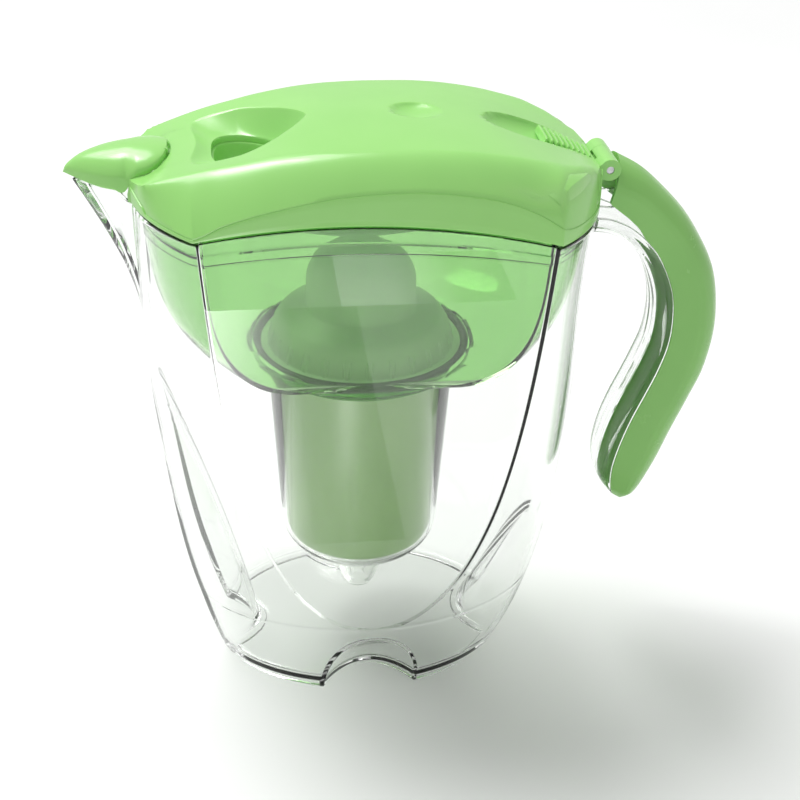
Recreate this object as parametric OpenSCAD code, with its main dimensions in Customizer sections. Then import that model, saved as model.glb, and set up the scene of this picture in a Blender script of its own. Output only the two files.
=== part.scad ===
// Filter pitcher with flip lid: clear flared jug, hook handle with a coloured cover,
// lift-out hopper with a drop-in filter cartridge, hinged dome lid and hinged spout cover.
// Origin at the centre of the base on the table. -X is the spout, +X the handle, -Y the front panel, +Z up.

/* [Jug] */
// Half-length of the jug at the table
base_half_length = 66.5; // [66:0.1:67]
// How far the jug flares out above its base
flare = 22.2; // [21.9:0.1:22.4]
// Half-width of the jug at the table
base_half_width = 52.4; // [52.2:0.1:52.6]
// Distance of each flat panel from the middle plane
panel_half = 53; // [52.9:0.05:53.1]
// Thickness of the clear jug wall
wall = 2.8; // [2.4:0.1:2.8]
// Thickness of the jug floor
floor_t = 4; // [3.5:0.1:5]
// Height of the tall scallop under the spout
scallop_spout_h = 137; // [130:1:139]
// Height of the short scallop under the handle
scallop_handle_h = 58; // [54:1:62]
// Half-width of the end scallops at the table
scallop_half = 18.3; // [17.5:0.1:19]
// Height of the front and back arches
arch_h = 28; // [27:0.2:28.4]
// Half-width of the front and back arches at the table
arch_half = 20.1; // [19:0.1:21]

/* [Handle] */
// Half-width of the handle cover
handle_half = 12.5; // [12.2:0.1:12.7]
// Thickness of the handle cover shell
cover_t = 2.2; // [2.1:0.05:2.3]

/* [Lid] */
// Thickness of the lid shell
lid_t = 2.2; // [2:0.1:2.4]
// Height of the dome above the lid's edge lip
dome_h = 28.5; // [28:0.1:29]
// Parting gap between the lid and the jug rim
lid_gap = 1.3; // [1.2:0.05:1.5]
// Number of thumb ribs on the tail
rib_count = 9; // [7:1:10]

/* [Hopper] */
// Wall thickness of the hopper
hopper_t = 1.8; // [1.6:0.1:2]
// Depth of the hopper below the rim
hopper_depth = 66; // [65.5:0.1:66.5]

/* [Cartridge] */
// Outer radius of the ribbed ring on the cartridge cap
cap_r = 38.2; // [37.5:0.1:38.5]
// Outer radius of the cartridge shell at its lower end
shell_r_low = 34.6; // [34.2:0.1:35]
// Outer radius of the cartridge shell at its upper end
shell_r_top = 39.6; // [39.2:0.1:39.8]
// Number of grip ribs around the cap
cap_ribs = 26; // [24:1:36]

/* [Hidden] */
cx = 2;                       // the jug's sections drift this far towards the handle
rim0 = 214.7;                 // rim height at X = 0
rim_slope = 0.042;            // the rim drops towards the handle
rim_arch = 7.5;               // the rim rises in the middle of each panel
hx = 97; hz = 226;            // lid hinge axis
fx = -75.6; fz = 234.4;       // spout cover hinge axis
seat_z = 148.5;               // hopper floor, top face

function clamp(v, a, b) = max(a, min(b, v));
function smooth(t) = let(u = clamp(t, 0, 1)) u * u * (3 - 2 * u);
function mirror_rows(h) = concat(h, [for (i = [len(h) - 2 : -1 : 1]) [h[i][0], -h[i][1], h[i][2]]]);

// ---- the jug's section ----
function ja(z) = base_half_length + flare * (1 - exp(-z / 45)) + 0.017 * z;
function jb(z) = z > 33 ? panel_half + 33 * (1 - exp(-(z - 33) / 140)) : base_half_width + (panel_half - base_half_width) * pow(z / 33, 2);
function jc(z) = cx * (1 - exp(-z / 15));
function rim_z(x, y) = rim0 - rim_slope * x + 4.3 * smooth((-88 - x) / 7)
    + (abs(y) > panel_half - 4.5 ? rim_arch * max(0, 1 - pow((x - cx) / 68, 2)) : 0);
// scallop under the spout turning into the spout itself higher up
function lw(z) = z < scallop_spout_h - 0.5 ? scallop_half * pow(1 - pow(z / scallop_spout_h, 5), 0.5)
    : z < 166 ? 2.5 : max(2.5, 14.5 * pow((z - 165) / 50, 0.5));
function ld(z) = z < scallop_spout_h ? max(0, ja(z) - jc(z) - (47.6 + 0.19 * z + 0.00075 * z * z) * (1 + (137 - scallop_spout_h) * 0.0008))
    : z < 165 ? 0 : -(23.9 * pow((z - 165) / 49.7, 1.55) + 89.3 - (ja(z) - jc(z)));
function rw(z) = z < scallop_handle_h - 0.5 ? 20 * pow(1 - pow(z / scallop_handle_h, 3), 0.5) : 2.5;
function rd(z) = z < scallop_handle_h ? max(0, ja(z) + jc(z) - (48.6 + 0.5 * z + 0.0024 * z * z)) * smooth((scallop_handle_h - z) / 6) : 0;
function fw(z) = z < arch_h - 0.3 ? max(2, arch_half * pow(1 - pow(z / arch_h, 2.2), 0.5)) : z < 33.5 ? 2
    : max(2, ja(z) * sqrt(max(0, 1 - pow(panel_half / jb(z), 2))));
function fd(z) = z < arch_h ? max(0, jb(z) - (36 + 0.25 * z + 0.0128 * z * z)) : 0;

// half ring on the front side, from the spout end to the handle end; o is the inset
function half_ring(z, o, zt) =
    let(a = ja(z) - o, b = jb(z) - o, c = jc(z), p = panel_half - o * 0.93,
        sp = z > 160,
        wl = max(2.5, lw(z) + (o > 0 ? (sp ? -1.2 : 1.2) : 0)), dl0 = ld(z), dl = sp ? (o > 0 ? min(0, dl0 * 0.93 + 1.4) : dl0) : dl0,
        wr = rw(z) + (o > 0 ? 1.2 : 0), dr = rd(z), wf = fw(z) + (o > 0 ? (z < arch_h ? 1.2 : 0) : 0), df = fd(z),
        wfe = z > 33.5 ? max(2, a * sqrt(max(0, 1 - pow(p / b, 2)))) : wf,
        t0 = asin(wl / b), t1 = acos(wfe / a), t2 = 180 - t1, t3 = 180 - asin(wr / b),
        A = [for (i = [0 : 5]) let(y = wl * i / 6, k = y / wl) [c - a * sqrt(1 - pow(y / b, 2)) + dl * (sp ? 1 - k : 1 - k * k), -y]],
        B = [for (i = [0 : 6]) let(t = t0 + (t1 - t0) * i / 7) [c - a * cos(t), -b * sin(t)]],
        C = [for (i = [0 : 11]) let(x = -wfe + 2 * wfe * i / 12, k = x / wfe) [c + x, -min(b * sqrt(1 - pow(x / a, 2)), z > 33.5 ? p : b) + df * (1 - k * k)]],
        D = [for (i = [0 : 6]) let(t = t2 + (t3 - t2) * i / 7) [c - a * cos(t), -b * sin(t)]],
        E = [for (i = [0 : 4]) let(y = wr * (1 - i / 4), k = y / wr) [c + a * sqrt(1 - pow(y / b, 2)) - dr * (1 - k * k), -y]])
    [for (q = concat(A, B, C, D, E)) [q[0], q[1], zt ? z + pow(z / rim0, 6) * (rim_z(q[0], q[1]) - rim0) : z]];
function ring(z, o, zt = true) = mirror_rows(half_ring(z, o, zt));
function at_z(r, z) = [for (p = r) [p[0], p[1], z]];

// ---- lofts: rows of points, all the same length, each row closed ----
module skin(rows, loop = false, flip = false) {
    n = len(rows); m = len(rows[0]);
    pts = [for (r = rows) for (p = r) p];
    mid0 = [for (k = [0 : 2]) (rows[0][0][k] + rows[0][floor(m / 2)][k]) / 2];
    mid1 = [for (k = [0 : 2]) (rows[n - 1][0][k] + rows[n - 1][floor(m / 2)][k]) / 2];
    side = [for (i = [0 : (loop ? n - 1 : n - 2)]) for (j = [0 : m - 1])
        let(a = i * m + j, b = i * m + (j + 1) % m, c = ((i + 1) % n) * m + (j + 1) % m, d = ((i + 1) % n) * m + j)
        each [[a, b, c], [a, c, d]]];
    caps = loop ? [] : concat([for (j = [0 : m - 1]) [n * m, (j + 1) % m, j]],
                              [for (j = [0 : m - 1]) [n * m + 1, (n - 1) * m + j, (n - 1) * m + (j + 1) % m]]);
    polyhedron(points = loop ? pts : concat(pts, [mid0, mid1]), faces = [for (f = concat(side, caps)) flip ? f : [f[2], f[1], f[0]]], convexity = 8);
}
// a strip section (outer chain, inner chain) carried along stations, closed at both ends
module strip(rows_out, rows_in, flip = false) {
    n = len(rows_out); m = len(rows_out[0]);
    pts = concat([for (r = rows_out) for (p = r) p], [for (r = rows_in) for (p = r) p]);
    K = n * m;
    f = concat(
        [for (i = [0 : n - 2]) for (j = [0 : m - 2]) let(a = i * m + j, b = a + 1, c = b + m, d = a + m) each [[a, b, c], [a, c, d]]],
        [for (i = [0 : n - 2]) for (j = [0 : m - 2]) let(a = K + i * m + j, b = a + 1, c = b + m, d = a + m) each [[c, b, a], [d, c, a]]],
        [for (i = [0 : n - 2]) each [[i * m, (i + 1) * m, K + (i + 1) * m], [i * m, K + (i + 1) * m, K + i * m]]],
        [for (i = [0 : n - 2]) let(j = m - 1) each [[K + (i + 1) * m + j, (i + 1) * m + j, i * m + j], [K + i * m + j, K + (i + 1) * m + j, i * m + j]]],
        [for (j = [0 : m - 2]) each [[K + j, j + 1, j], [K + j, K + j + 1, j + 1]]],
        [for (j = [0 : m - 2]) let(i = (n - 1) * m) each [[i + j, i + j + 1, K + i + j], [i + j + 1, K + i + j + 1, K + i + j]]]);
    polyhedron(points = pts, faces = flip ? [for (t = f) [t[2], t[1], t[0]]] : f, convexity = 8);
}

// ---- jug ----
module jug_body() {
    zo = [1.2, 4, 9, 14, 19, 23, 26, arch_h, 33, 36, 40, 46, 54, 58, 68, 82, 96, 110, 122, 131, scallop_spout_h, 152, 165, 172, 180, 190, 200, 208, rim0];
    zi = [rim0, 208, 200, 190, 180, 172, 165, 152, scallop_spout_h, 131, 122, 110, 96, 82, 68, 58, 54, 46, 40, 36, 33, arch_h, 26, 23, 19, 14, 9, floor_t];
    color([0.93, 0.95, 0.94, 0.3]) render(convexity = 6)
        skin(concat([at_z(ring(0, 1.2, false), 0)], [for (z = zo) ring(z, 0)], [for (z = zi) ring(z, wall)]));
}

// ---- handle: stations from the root to the free end, outer point and inner point of the grip section ----
ST = [[[95, 230], [94, 196.5]], [[99, 229.4], [98.5, 196]], [[104.5, 227.4], [102.2, 195]], [[113, 222.8], [107, 192.8]], [[122.6, 214.6], [112, 189]],
      [[133.1, 203.8], [116.7, 183]], [[141.6, 191.8], [120.3, 175.5]], [[148.7, 178.7], [123, 166]], [[152.5, 163.9], [123.8, 156]],
      [[153.7, 147.8], [122.8, 145]], [[151.6, 130.4], [119.5, 134.5]], [[146.8, 115.7], [115.8, 124.5]], [[140.7, 98.7], [111, 112]],
      [[135.8, 84], [107.6, 99.5]], [[130.8, 72.5], [106.3, 87]], [[127, 66.5], [108.3, 76]], [[121.5, 63.6], [112.8, 69.3]]];
function st_pt(s, y, v, w = 1) = [s[0][0] + (s[1][0] - s[0][0]) * v, y * w, s[0][1] + (s[1][1] - s[0][1]) * v];
function st_w(i) = i > 15 ? 0.72 : i > 14 ? 0.93 : 1;
function both(ch) = concat([for (i = [len(ch) - 1 : -1 : 1]) [-ch[i][0], ch[i][1]]], ch);
function core_top(i) = i < 2 ? 0.61 : i < 3 ? 0.56 : i < 4 ? 0.45 : 0.3;
module handle_core() {
    h = handle_half;
    function out_c(i) = both([[0, 1], [6, 0.98], [9.8, 0.92], [11.9, 0.825], [h - 0.2, 0.748], [h - 2.4, 0.742], [h - 2.4, core_top(i)]]);
    function in_c(i) = both([[0, 0.914], [5, 0.9], [7.2, 0.847], [7.7, 0.797], [7.75, 0.765], [7.8, 0.742], [7.8, core_top(i)]]);
    color([0.93, 0.95, 0.94, 0.3]) render(convexity = 6)
        strip([for (i = [0 : len(ST) - 1]) [for (q = out_c(i)) st_pt(ST[i], q[0], q[1], st_w(i))]],
              [for (i = [0 : len(ST) - 1]) [for (q = in_c(i)) st_pt(ST[i], q[0], q[1], st_w(i))]], flip = true);
}
module handle_cover() {
    h = handle_half; t = cover_t;
    oc = both([[0, 0], [5, 0.035], [9, 0.115], [h - 0.9, 0.235], [h - 0.1, 0.34], [h, 0.37], [h, 0.735]]);
    function bot(i) = i < 3 ? 0.52 + 0.03 * i : i < 4 ? 0.66 : 0.735;
    function fit(ch, i, z) = [for (q = ch) [q[0] , q[1] > 0.7 ? bot(i) : q[1]]];
    ic = both([[0, 0.075], [4.3, 0.108], [7.6, 0.18], [h - t - 0.75, 0.275], [h - t - 0.1, 0.355], [h - t, 0.385], [h - t, 0.735]]);
    S = concat([[[102.6, 228.6], [94.9, 196]]], [for (i = [3 : len(ST) - 1]) ST[i]]);
    color([0.55, 0.86, 0.42]) render(convexity = 6)
        strip([for (i = [0 : len(S) - 1]) [for (q = fit(oc, i + (i > 0 ? 2 : 0))) st_pt(S[i], q[0], q[1], st_w(i + 2))]],
              [for (i = [0 : len(S) - 1]) [for (q = fit(ic, i + (i > 0 ? 2 : 0))) st_pt(S[i], q[0], q[1], st_w(i + 2))]]);
}

// ---- hopper ----
function hs(d, n) = pow(max(0, 1 - pow(d / hopper_depth, n)), 1 / n);
// plan point on the hopper for one column: inset o, drop d below the rim
function hop_half(d, o, lift) =
    let(z = rim0, a = ja(z) - wall - 0.6 - o, b = jb(z) - wall - 0.6 - o, p = panel_half - wall * 0.93 - 0.55 - o,
        wfe = a * sqrt(1 - pow(p / b, 2)), t1 = acos(wfe / a), sx = d < 0 ? 1 : hs(d, 3.6) * (1 - 0.0007 * d), sy = d < 0 ? 1 : hs(d, 14),
        A = [for (i = [0 : 8]) let(t = t1 * i / 9) [-a * cos(t), -b * sin(t)]],
        C = [for (i = [0 : 13]) let(x = -wfe + 2 * wfe * i / 14) [x, -p]],
        D = [for (i = [0 : 9]) let(t = 180 - t1 + t1 * i / 9) [-a * cos(t), -b * sin(t)]])
    [for (q = concat(A, C, D)) let(x0 = cx + q[0] * sx, y0 = q[1] * sy, rr = max(0.01, norm([x0, y0])), f = d > 45 ? max(1, (47.5 - o) / rr) : 1, x = x0 * f, y = y0 * f, zr = rim_z(max(-87, cx + q[0]), q[1] * 1.08), k = clamp(1 - d / 30, 0, 1))
        [x, y, rim0 - d + (zr - rim0) * k + lift]];
// radial blend from the hopper outline down to the round cartridge hole
function hole_half(r, z) =
    let(n = 33) [for (i = [0 : n]) let(q = hop_half(hopper_depth - 4, 0, 0)[min(i, 32)], t = atan2(-q[1], q[0]))
        [r * cos(i == 0 ? 180 : i == 32 ? 0 : t), -r * sin(i == 0 ? 180 : i == 32 ? 0 : t), z]];
function hole_ring(r, z) = mirror_rows([for (i = [0 : 32]) hole_half(r, z)[i]]);
function hop_ring(d, o, lift = 0) = mirror_rows(hop_half(d, o, lift));
// outer edge of the flange, drawn back where the jug's rim climbs at the spout
function hop_flange(d) = [let(w = hop_ring(d, -2.4), n = hop_ring(d, -0.9)) for (i = [0 : len(w) - 1]) let(k = smooth((-78 - w[i][0]) / 7)) w[i] + (n[i] - w[i]) * k];
module hopper() {
    t = hopper_t; D = hopper_depth;
    outer = [for (d = [0.8, 8, 18, 28, 36, 44, 51, 57, 61, 64, 65.4]) hop_ring(d, 0, -0.25)];
    inner = [for (d = [65.1, 63.6, 61, 57, 51, 44, 36, 28, 18, 8, -0.6]) let(k = clamp((d - 40) / 25, 0, 1)) hop_ring(d, t, k * t - 0.1)];
    color([0.62, 0.85, 0.5, 0.6]) render(convexity = 6)
        skin(concat([hop_flange(-0.95), hop_flange(-0.25), hop_ring(-0.25, -0.1)], outer,
                    [hole_ring(46.4, seat_z - 1.9), hole_ring(41, seat_z - 1.9), hole_ring(41, seat_z), hole_ring(45.5, seat_z)], inner, [hop_ring(-0.95, t)]), loop = true, flip = true);
}
module seat_collar() {
    color([0.62, 0.85, 0.5, 0.6])
        rotate_extrude($fn = 96) polygon([[40.2, 143], [40.9, 143], [40.9, 146.4], [42.6, 146.4], [42.6, 146.5], [40.95, 146.6], [40.95, 148.6], [40.2, 148.6]]);
}
module hinge_bracket() {
    color([0.62, 0.85, 0.5]) difference() {
        union() {
            translate([hx, 0, hz]) rotate([90, 0, 0]) cylinder(r = 3.4, h = 7.6, center = true, $fn = 48);
            rotate([90, 0, 0]) linear_extrude(7.6, center = true) polygon([[85, 214.2], [90.2, 214.2], [98.6, 223.2], [97.5, 228], [94.2, 227.6], [90.5, 219.5], [85, 217.6]]);
        }
        translate([hx, 0, hz]) rotate([90, 0, 0]) cylinder(r = 1.56, h = 20, center = true, $fn = 48);
    }
    color([0.62, 0.85, 0.5]) translate([84.4, -11, 208.5]) cube([2.2, 22, 9.6]);
}
module lid_hinge_pin() {
    color([0.78, 0.79, 0.8]) translate([hx, 0, hz]) rotate([90, 0, 0]) cylinder(r = 1.5, h = 23.6, center = true, $fn = 48);
}

// ---- lid ----
// centre line, crest line (half-width and height) and top of the side face along the lid
MZ = [[-92, 226.2], [-86, 228.8], [-82, 230], [-78, 232], [-74, 234.4], [-66, 236], [-60, 237.1], [-50, 239.6], [-42, 241.8], [-36, 243.6], [-30, 245.3], [-22, 247.1], [-14, 248], [-5, 248.5], [5, 248.6], [14, 248.4], [22, 248], [30, 247.3], [40, 246], [48, 244.6], [56, 242.5], [64, 239.9], [72, 237.2], [80, 234], [86, 231.2], [92, 228.6], [99, 226.5]];
YC = [[-92, 18], [-87, 26.5], [-82, 30], [-76, 31.2], [-69, 32.4], [-60, 33.8], [-50, 35.2], [-41, 36.5], [-31, 37.4], [-20, 37.9], [5, 38.4], [30, 38.5], [52, 38], [69, 35.6], [80, 30], [89, 22], [96, 12]];
ZC = [[-92, 226.4], [-87, 229.8], [-82, 232.2], [-76, 234.2], [-69, 236.3], [-60, 238.8], [-50, 241], [-41, 242.9], [-31, 244.6], [-21, 245.8], [-10, 246.5], [5, 246.9], [20, 246.8], [32, 246.1], [42, 244.9], [52, 243.2], [60, 241.4], [69, 239], [76, 236.6], [80, 235.2], [89, 230.8], [96, 227]];
ZE = [[-92, 223.8], [-87, 221.4], [-82, 221], [-75, 220.6], [-66, 220], [-62, 221.2], [-56, 224.3], [-49, 226.7], [-41, 228.9], [-33, 230.7], [-25, 232.4], [-17, 233.9], [-10, 234.8], [5, 235.7], [15, 235.8], [22, 235.3], [29, 234.6], [37, 233.4], [45, 231.8], [52, 229.6], [58, 226.9], [63, 223.4], [67, 219.6], [71, 216.4], [76, 214.9], [84, 214.2], [96, 213.7]];
function wy(x) = min(panel_half + 0.2, (jb(rim0) + 0.8) * sqrt(max(0.01, 1 - pow((x - cx) / (ja(rim0) + 0.8), 2))));
function spine(x) = lookup(x, MZ) + (dome_h - 28.5) * 0.5;
function dome(x, y) = let(w = wy(x), yc = min(lookup(x, YC), 0.97 * w), m = spine(x), zc = lookup(x, ZC), e = lookup(x, ZE), v = abs(y), u = clamp((v - yc) / max(1, w - yc), 0, 1), k = 0.4 * smooth((-8 - x) / 30), r = smooth((x - 56) / 16))
    v < yc ? m + (zc - m) * pow(v / yc, 2) : zc - (zc - e) * (k * u + (1 - k) * ((1 - r) * pow(u, 1.75) + r * (1 - sqrt(1 - u * u * 0.98))));
function top_z(x, y) = dome(x, y)
    - 2.4 * pow(max(0, 1 - pow((x - 20.5) / 9.5, 2) - pow(y / 8.6, 2)), 0.7)
    - 5 * pow(max(0, 1 - pow((x - 63) / 15.5, 2) - pow(y / 10.8, 2)), 0.6);
// lid outline, rear to nose on the front side
nB = 7; nP = 15; nE = 8; nN = 11; nT = 5;
function nose_arc(d, n) = [for (i = [0 : n]) let(t = 90 * (1 - i / n)) [-86.5 + (13 - d) * pow(abs(cos(t)), 0.83), -(16.8 - d) * pow(abs(sin(t)), 0.83)]];
function lid_half() =
    let(a = ja(rim0) + 0.8, b = jb(rim0) + 0.8, p = panel_half + 0.2, wfe = a * sqrt(1 - pow(p / b, 2)), t1 = acos(wfe / a), tb = asin(15.6 / b), tt = asin(12.9 / b),
        T = [for (i = [0 : nT - 1]) [92, -12.2 * i / (nT - 1)]],
        E = [for (i = [0 : nE - 1]) let(t = tt + (t1 - tt) * i / nE) [cx + a * cos(t), -b * sin(t)]],
        P = [for (i = [0 : nP - 1]) let(x = wfe - 2 * wfe * i / nP) [cx + x, -p]],
        B = [for (i = [0 : nB - 1]) let(t = t1 + (tb - t1) * i / nB) [cx - a * cos(t), -b * sin(t)]],
        N = concat([[-89.9, -15.3], [-88.5, -16.3]], nose_arc(0, nN - 2)))
    concat(T, E, P, B, N);
LC = [-48, 0];
LH = lid_half();
nose0 = nT + nE + nP + nB;
LD = [for (i = [0 : len(LH) - 1]) i >= nose0 ? [-88, LH[i][1] * 1.32] : LH[i]];
function pol(q, axp, axn, ay, pp, pn) = let(dx = q[0] - LC[0], dy = q[1], l = norm([dx, dy]), c = dx / l, s = abs(dy) / l, ax_ = c > 0 ? axp : axn, p = c > 0 ? pp : pn,
    r = 1 / pow(pow(abs(c) / ax_, p) + pow(s / ay, p), 1 / p)) [LC[0] + r * c + (c < 0 && axn > 15 ? 4.2 * max(0, 1 - pow(r * s / 22, 2)) * pow(-c, 0.5) : 0), r * dy / l];
NB = [20, 17, 9, 6, 4, 2.5, 1.5, 1, 0.5, 0, 0, 0];
function lid_row(k, m) = [for (i = [0 : len(LH) - 1]) let(q = LH[i], s = pol(LD[i], 26.5, 20, 25.3, 1.35, 4.5), u = k / m) [s[0] + (q[0] - s[0]) * u, s[1] + (q[1] - s[1]) * u - (i < nose0 ? 0 : NB[i - nose0] * u * u * (1 - u) * 1.2)]];
function scoop_row(k, m) = [for (q = LD) let(s = pol(q, 26.5, 20, 25.3, 1.35, 4.5), h = pol(q, 18, 10, 15, 1.6, 3)) [h[0] + (s[0] - h[0]) * k / m, h[1] + (s[1] - h[1]) * k / m]];
hole_z = 233.5;
function on_top(row, dz) = [for (q = row) [q[0], q[1], top_z(q[0], q[1]) + dz]];
function is_tail(i) = i < nT;
function low_z(q, i) = is_tail(i) ? top_z(q[0], q[1]) - 3 : rim_z(max(q[0], -87), q[1]) + lid_gap;
function inset(q, d, i) = i == nose0 || i == nose0 + 1 ? let(v = [-84 - q[0], -22.5 - q[1]], l = norm(v)) [q[0] + v[0] / l * d * 0.2, q[1] + v[1] / l * d * 0.2]
    : i > nose0 ? let(v = [q[0] + 86.5, q[1]], l = norm(v), e = i == nose0 + 2 ? 0.4 : i == nose0 + 3 ? 0.6 : 0.85) [q[0] + v[0] / l * d * e, q[1] + v[1] / l * d * e]
    : let(v = [q[0] - LC[0], q[1]], l = norm(v), e = i == nose0 - 1 ? 0.45 : i == nose0 - 2 ? 0.8 : 1) (abs(q[1]) > panel_half - 0.5) ? [q[0] * (1 - d / 200), q[1] + (q[1] > 0 ? -d : d)] : [q[0] - v[0] / l * d * (abs(v[1]) < 2 ? 1 : 1.15) * e, q[1] - v[1] / l * d * 1.15 * e];
module lid_shell() {
    m = 15; H = lid_half();
    sc0 = scoop_row(0, 4);
    scoop = [for (k = [0 : 3]) [for (i = [0 : len(H) - 1]) let(a = scoop_row(k, 4)[i], e = scoop_row(4, 4)[i], u = k / 4) [a[0], a[1], hole_z + (top_z(e[0], e[1]) - hole_z) * pow(u, 1.3)]]];
    outer = [for (k = [0 : m]) on_top(lid_row(k, m), 0)];
    edge_o = [for (i = [0 : len(H) - 1]) [H[i][0], H[i][1], low_z(H[i], i)]];
    edge_i = [for (i = [0 : len(H) - 1]) let(q = inset(H[i], lid_t, i)) [q[0], q[1], low_z(H[i], i)]];
    under = [for (k = [m : -1 : 0]) [for (i = [0 : len(H) - 1]) let(q0 = lid_row(k, m)[i], q = k == m ? inset(q0, lid_t, i) : k == m - 1 ? inset(q0, lid_t * 0.5, i) : q0)
        [q[0], q[1], max(low_z(H[i], i) + (is_tail(i) ? 0 : 0.3), top_z(k == m ? q0[0] : q[0], k == m ? q0[1] : q[1]) - lid_t - (k > 0 ? 0 : 0.3))]]];
    scoop_u = [for (k = [3 : -1 : 0]) [for (i = [0 : len(H) - 1]) let(a = scoop_row(k, 4)[i], e = scoop_row(4, 4)[i], u = k / 4) [a[0], a[1], hole_z - lid_t - 0.2 + (top_z(e[0], e[1]) - hole_z) * pow(u, 1.3)]]];
    rows = concat(scoop, outer, [edge_o], [edge_i], under, scoop_u);
    color([0.6, 0.9, 0.45]) render(convexity = 8) skin([for (r = rows) mirror_rows(r)], loop = true);
    color([0.6, 0.9, 0.45]) for (i = [0 : rib_count - 1]) let(x = 72 + i * (20 / rib_count))
        translate([x, 0, spine(x) - 1]) rotate([0, 22, 0]) cube([1.2, 16 - i * 0.35, 3.6], center = true);
}
module lid_hinge_block() {
    color([0.6, 0.9, 0.45]) difference() {
        union() {
            for (s = [-1, 1]) {
                translate([hx, s * 8.2, hz]) rotate([90, 0, 0]) cylinder(r = 4.4, h = 7.8, center = true, $fn = 48);
                translate([0, s * 8.2, 0]) rotate([90, 0, 0]) linear_extrude(7.8, center = true) polygon([[84, 225], [84, 229.2], [91.6, 225.4], [92.4, 227.6], [94.4, 229.6], [97, 230.3], [97, 222.3], [93, 222]]);
            }
            translate([hx, 0, hz]) rotate([90, 0, 0]) linear_extrude(9.4, center = true)
                polygon(concat([for (t = [30 : 7.5 : 150]) 4.35 * [cos(t), sin(t)]], [for (t = [150 : -7.5 : 30]) 3.7 * [cos(t), sin(t)]]));
        }
        translate([hx, 0, hz]) rotate([90, 0, 0]) cylinder(r = 1.56, h = 40, center = true, $fn = 48);
    }
}
module fill_funnel() {
    function fr(k, z) = mirror_rows([for (q = LD) let(h = pol(q, 18 + k, 10 + k, 15 + k, 1.6, 3)) [h[0], h[1], z]]);
    color([0.6, 0.9, 0.45]) render(convexity = 6) skin([fr(0.4, hole_z - 2.3), fr(2, hole_z - 2.6), fr(0.2, hole_z - 13), fr(-1.3, hole_z - 13), fr(-1, hole_z - 3)], loop = true);
}
module nose_hinge_block() {
    color([0.6, 0.9, 0.45]) difference() {
        union() {
            translate([fx, 0, fz]) rotate([90, 0, 0]) cylinder(r = 1.25, h = 4.6, center = true, $fn = 40);
            rotate([90, 0, 0]) linear_extrude(4.6, center = true) polygon([[-76.3, 233.4], [-75.9, 231.2], [-73.44, 228], [-73.44, 233.5], [-74.3, 233.7], [-74.7, 234.6]]);
        }
        translate([fx, 0, fz]) rotate([90, 0, 0]) cylinder(r = 0.76, h = 40, center = true, $fn = 40);
    }
}

// ---- spout cover ----
CS = [[-114.6, 226], [-113.4, 228.6], [-111.3, 230.6], [-107.3, 233.1], [-101.6, 235.1], [-95.8, 236.4], [-88, 237.4], [-82, 237.5], [-77, 237.1], [-73, 236.6]];
function cov_half() = let(n = 13, m = 12)
    concat([for (q = [for (k = nose_arc(1, m)) k]) q], [[-89.2, -15.1], [-91.4, -14.7]],
           [for (i = [1 : n]) let(u = i / n, x = -91.4 - 23.1 * u) [x, -(14.4 * (1 - pow(u, 1.6)) + 0.5 * sqrt(max(0, 1 - u)))]]);
function cov_rows() = let(h = cov_half()) concat([for (i = [12 : -1 : 0]) h[i]], [for (i = [13 : len(h) - 1]) h[i]]);
// half-width of the cover and the height of its upper edge
function cov_w(x) = x < -91.4 ? 14.4 * (1 - pow(clamp((-91.4 - x) / 23.1, 0, 1), 1.6)) + 0.9 : x < -86.5 ? 15.3 + 0.5 * (x + 91.4) / 4.9 : 15.8 * pow(max(0.0004, 1 - pow(clamp((x + 86.5) / 12, 0, 1), 2.41)), 0.415);
function cov_edge(x, y) = x < -91.4 ? 225.3 + 1.6 * clamp((x + 114.5) / 23.1, 0, 1) : 226.9 + (dome(x, y) + 1.7 - 226.9) * smooth((x + 91.4) / 4);
function cov_top(x, y) = let(w = max(0.4, cov_w(x)), e = cov_edge(x, y), t = min(1, abs(y) / w)) e + (max(e, lookup(x, CS)) - e) * pow(max(0, 1 - pow(t, 2.3)), 0.62);
function cov_rear(x) = smooth((x + 91.4) / 3);
function cov_low(q) = let(k = cov_rear(q[0])) (max(222.9, rim_z(q[0], q[1]) + 0.9) + 1.3 * clamp((-100 - q[0]) / 14, 0, 1)) * (1 - k) + (cov_top(q[0], q[1]) - 2) * k;
module spout_cover() {
    CC = [-92, 0]; H = cov_rows();
    function sc(k) = [for (q = H) [CC[0] + (q[0] - CC[0]) * k, q[1] * k]];
    top = [for (k = [0.1, 0.3, 0.5, 0.68, 0.82, 0.92, 0.975, 1]) [for (q = sc(k)) [q[0], q[1], cov_top(q[0], q[1])]]];
    lip = [[for (q = sc(1)) [q[0], q[1], cov_low(q)]], [for (q = sc(0.88)) [q[0], q[1], cov_low([q[0] + (CC[0] - q[0]) * 0.02, q[1]])]]];
    under = [for (k = [0.86, 0.74, 0.55, 0.33, 0.12]) [for (q = sc(k)) [q[0], q[1], max(224.2, cov_top(q[0], q[1]) - 2)]]];
    color([0.6, 0.9, 0.45]) difference() {
        union() {
            render(convexity = 6) skin([for (r = concat(top, lip, under)) mirror_rows(r)]);
            translate([fx, 0, fz]) rotate([90, 0, 0]) cylinder(r = 1.35, h = 10.4, center = true, $fn = 40);
        }
        rotate([90, 0, 0]) linear_extrude(5.2, center = true) polygon([[fx - 1.7, fz - 2], [fx - 1.7, fz + 0.8], [fx - 0.8, fz + 1.62], [fx + 0.8, fz + 1.62], [fx + 3, fz + 0.9], [fx + 3, fz - 2]]);
        translate([fx, 0, fz]) rotate([90, 0, 0]) cylinder(r = 0.76, h = 10.9, center = true, $fn = 40);
    }
}
module spout_cover_pin() {
    color([0.78, 0.79, 0.8]) translate([fx, 0, fz]) rotate([90, 0, 0]) cylinder(r = 0.7, h = 10.4, center = true, $fn = 40);
}

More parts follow.
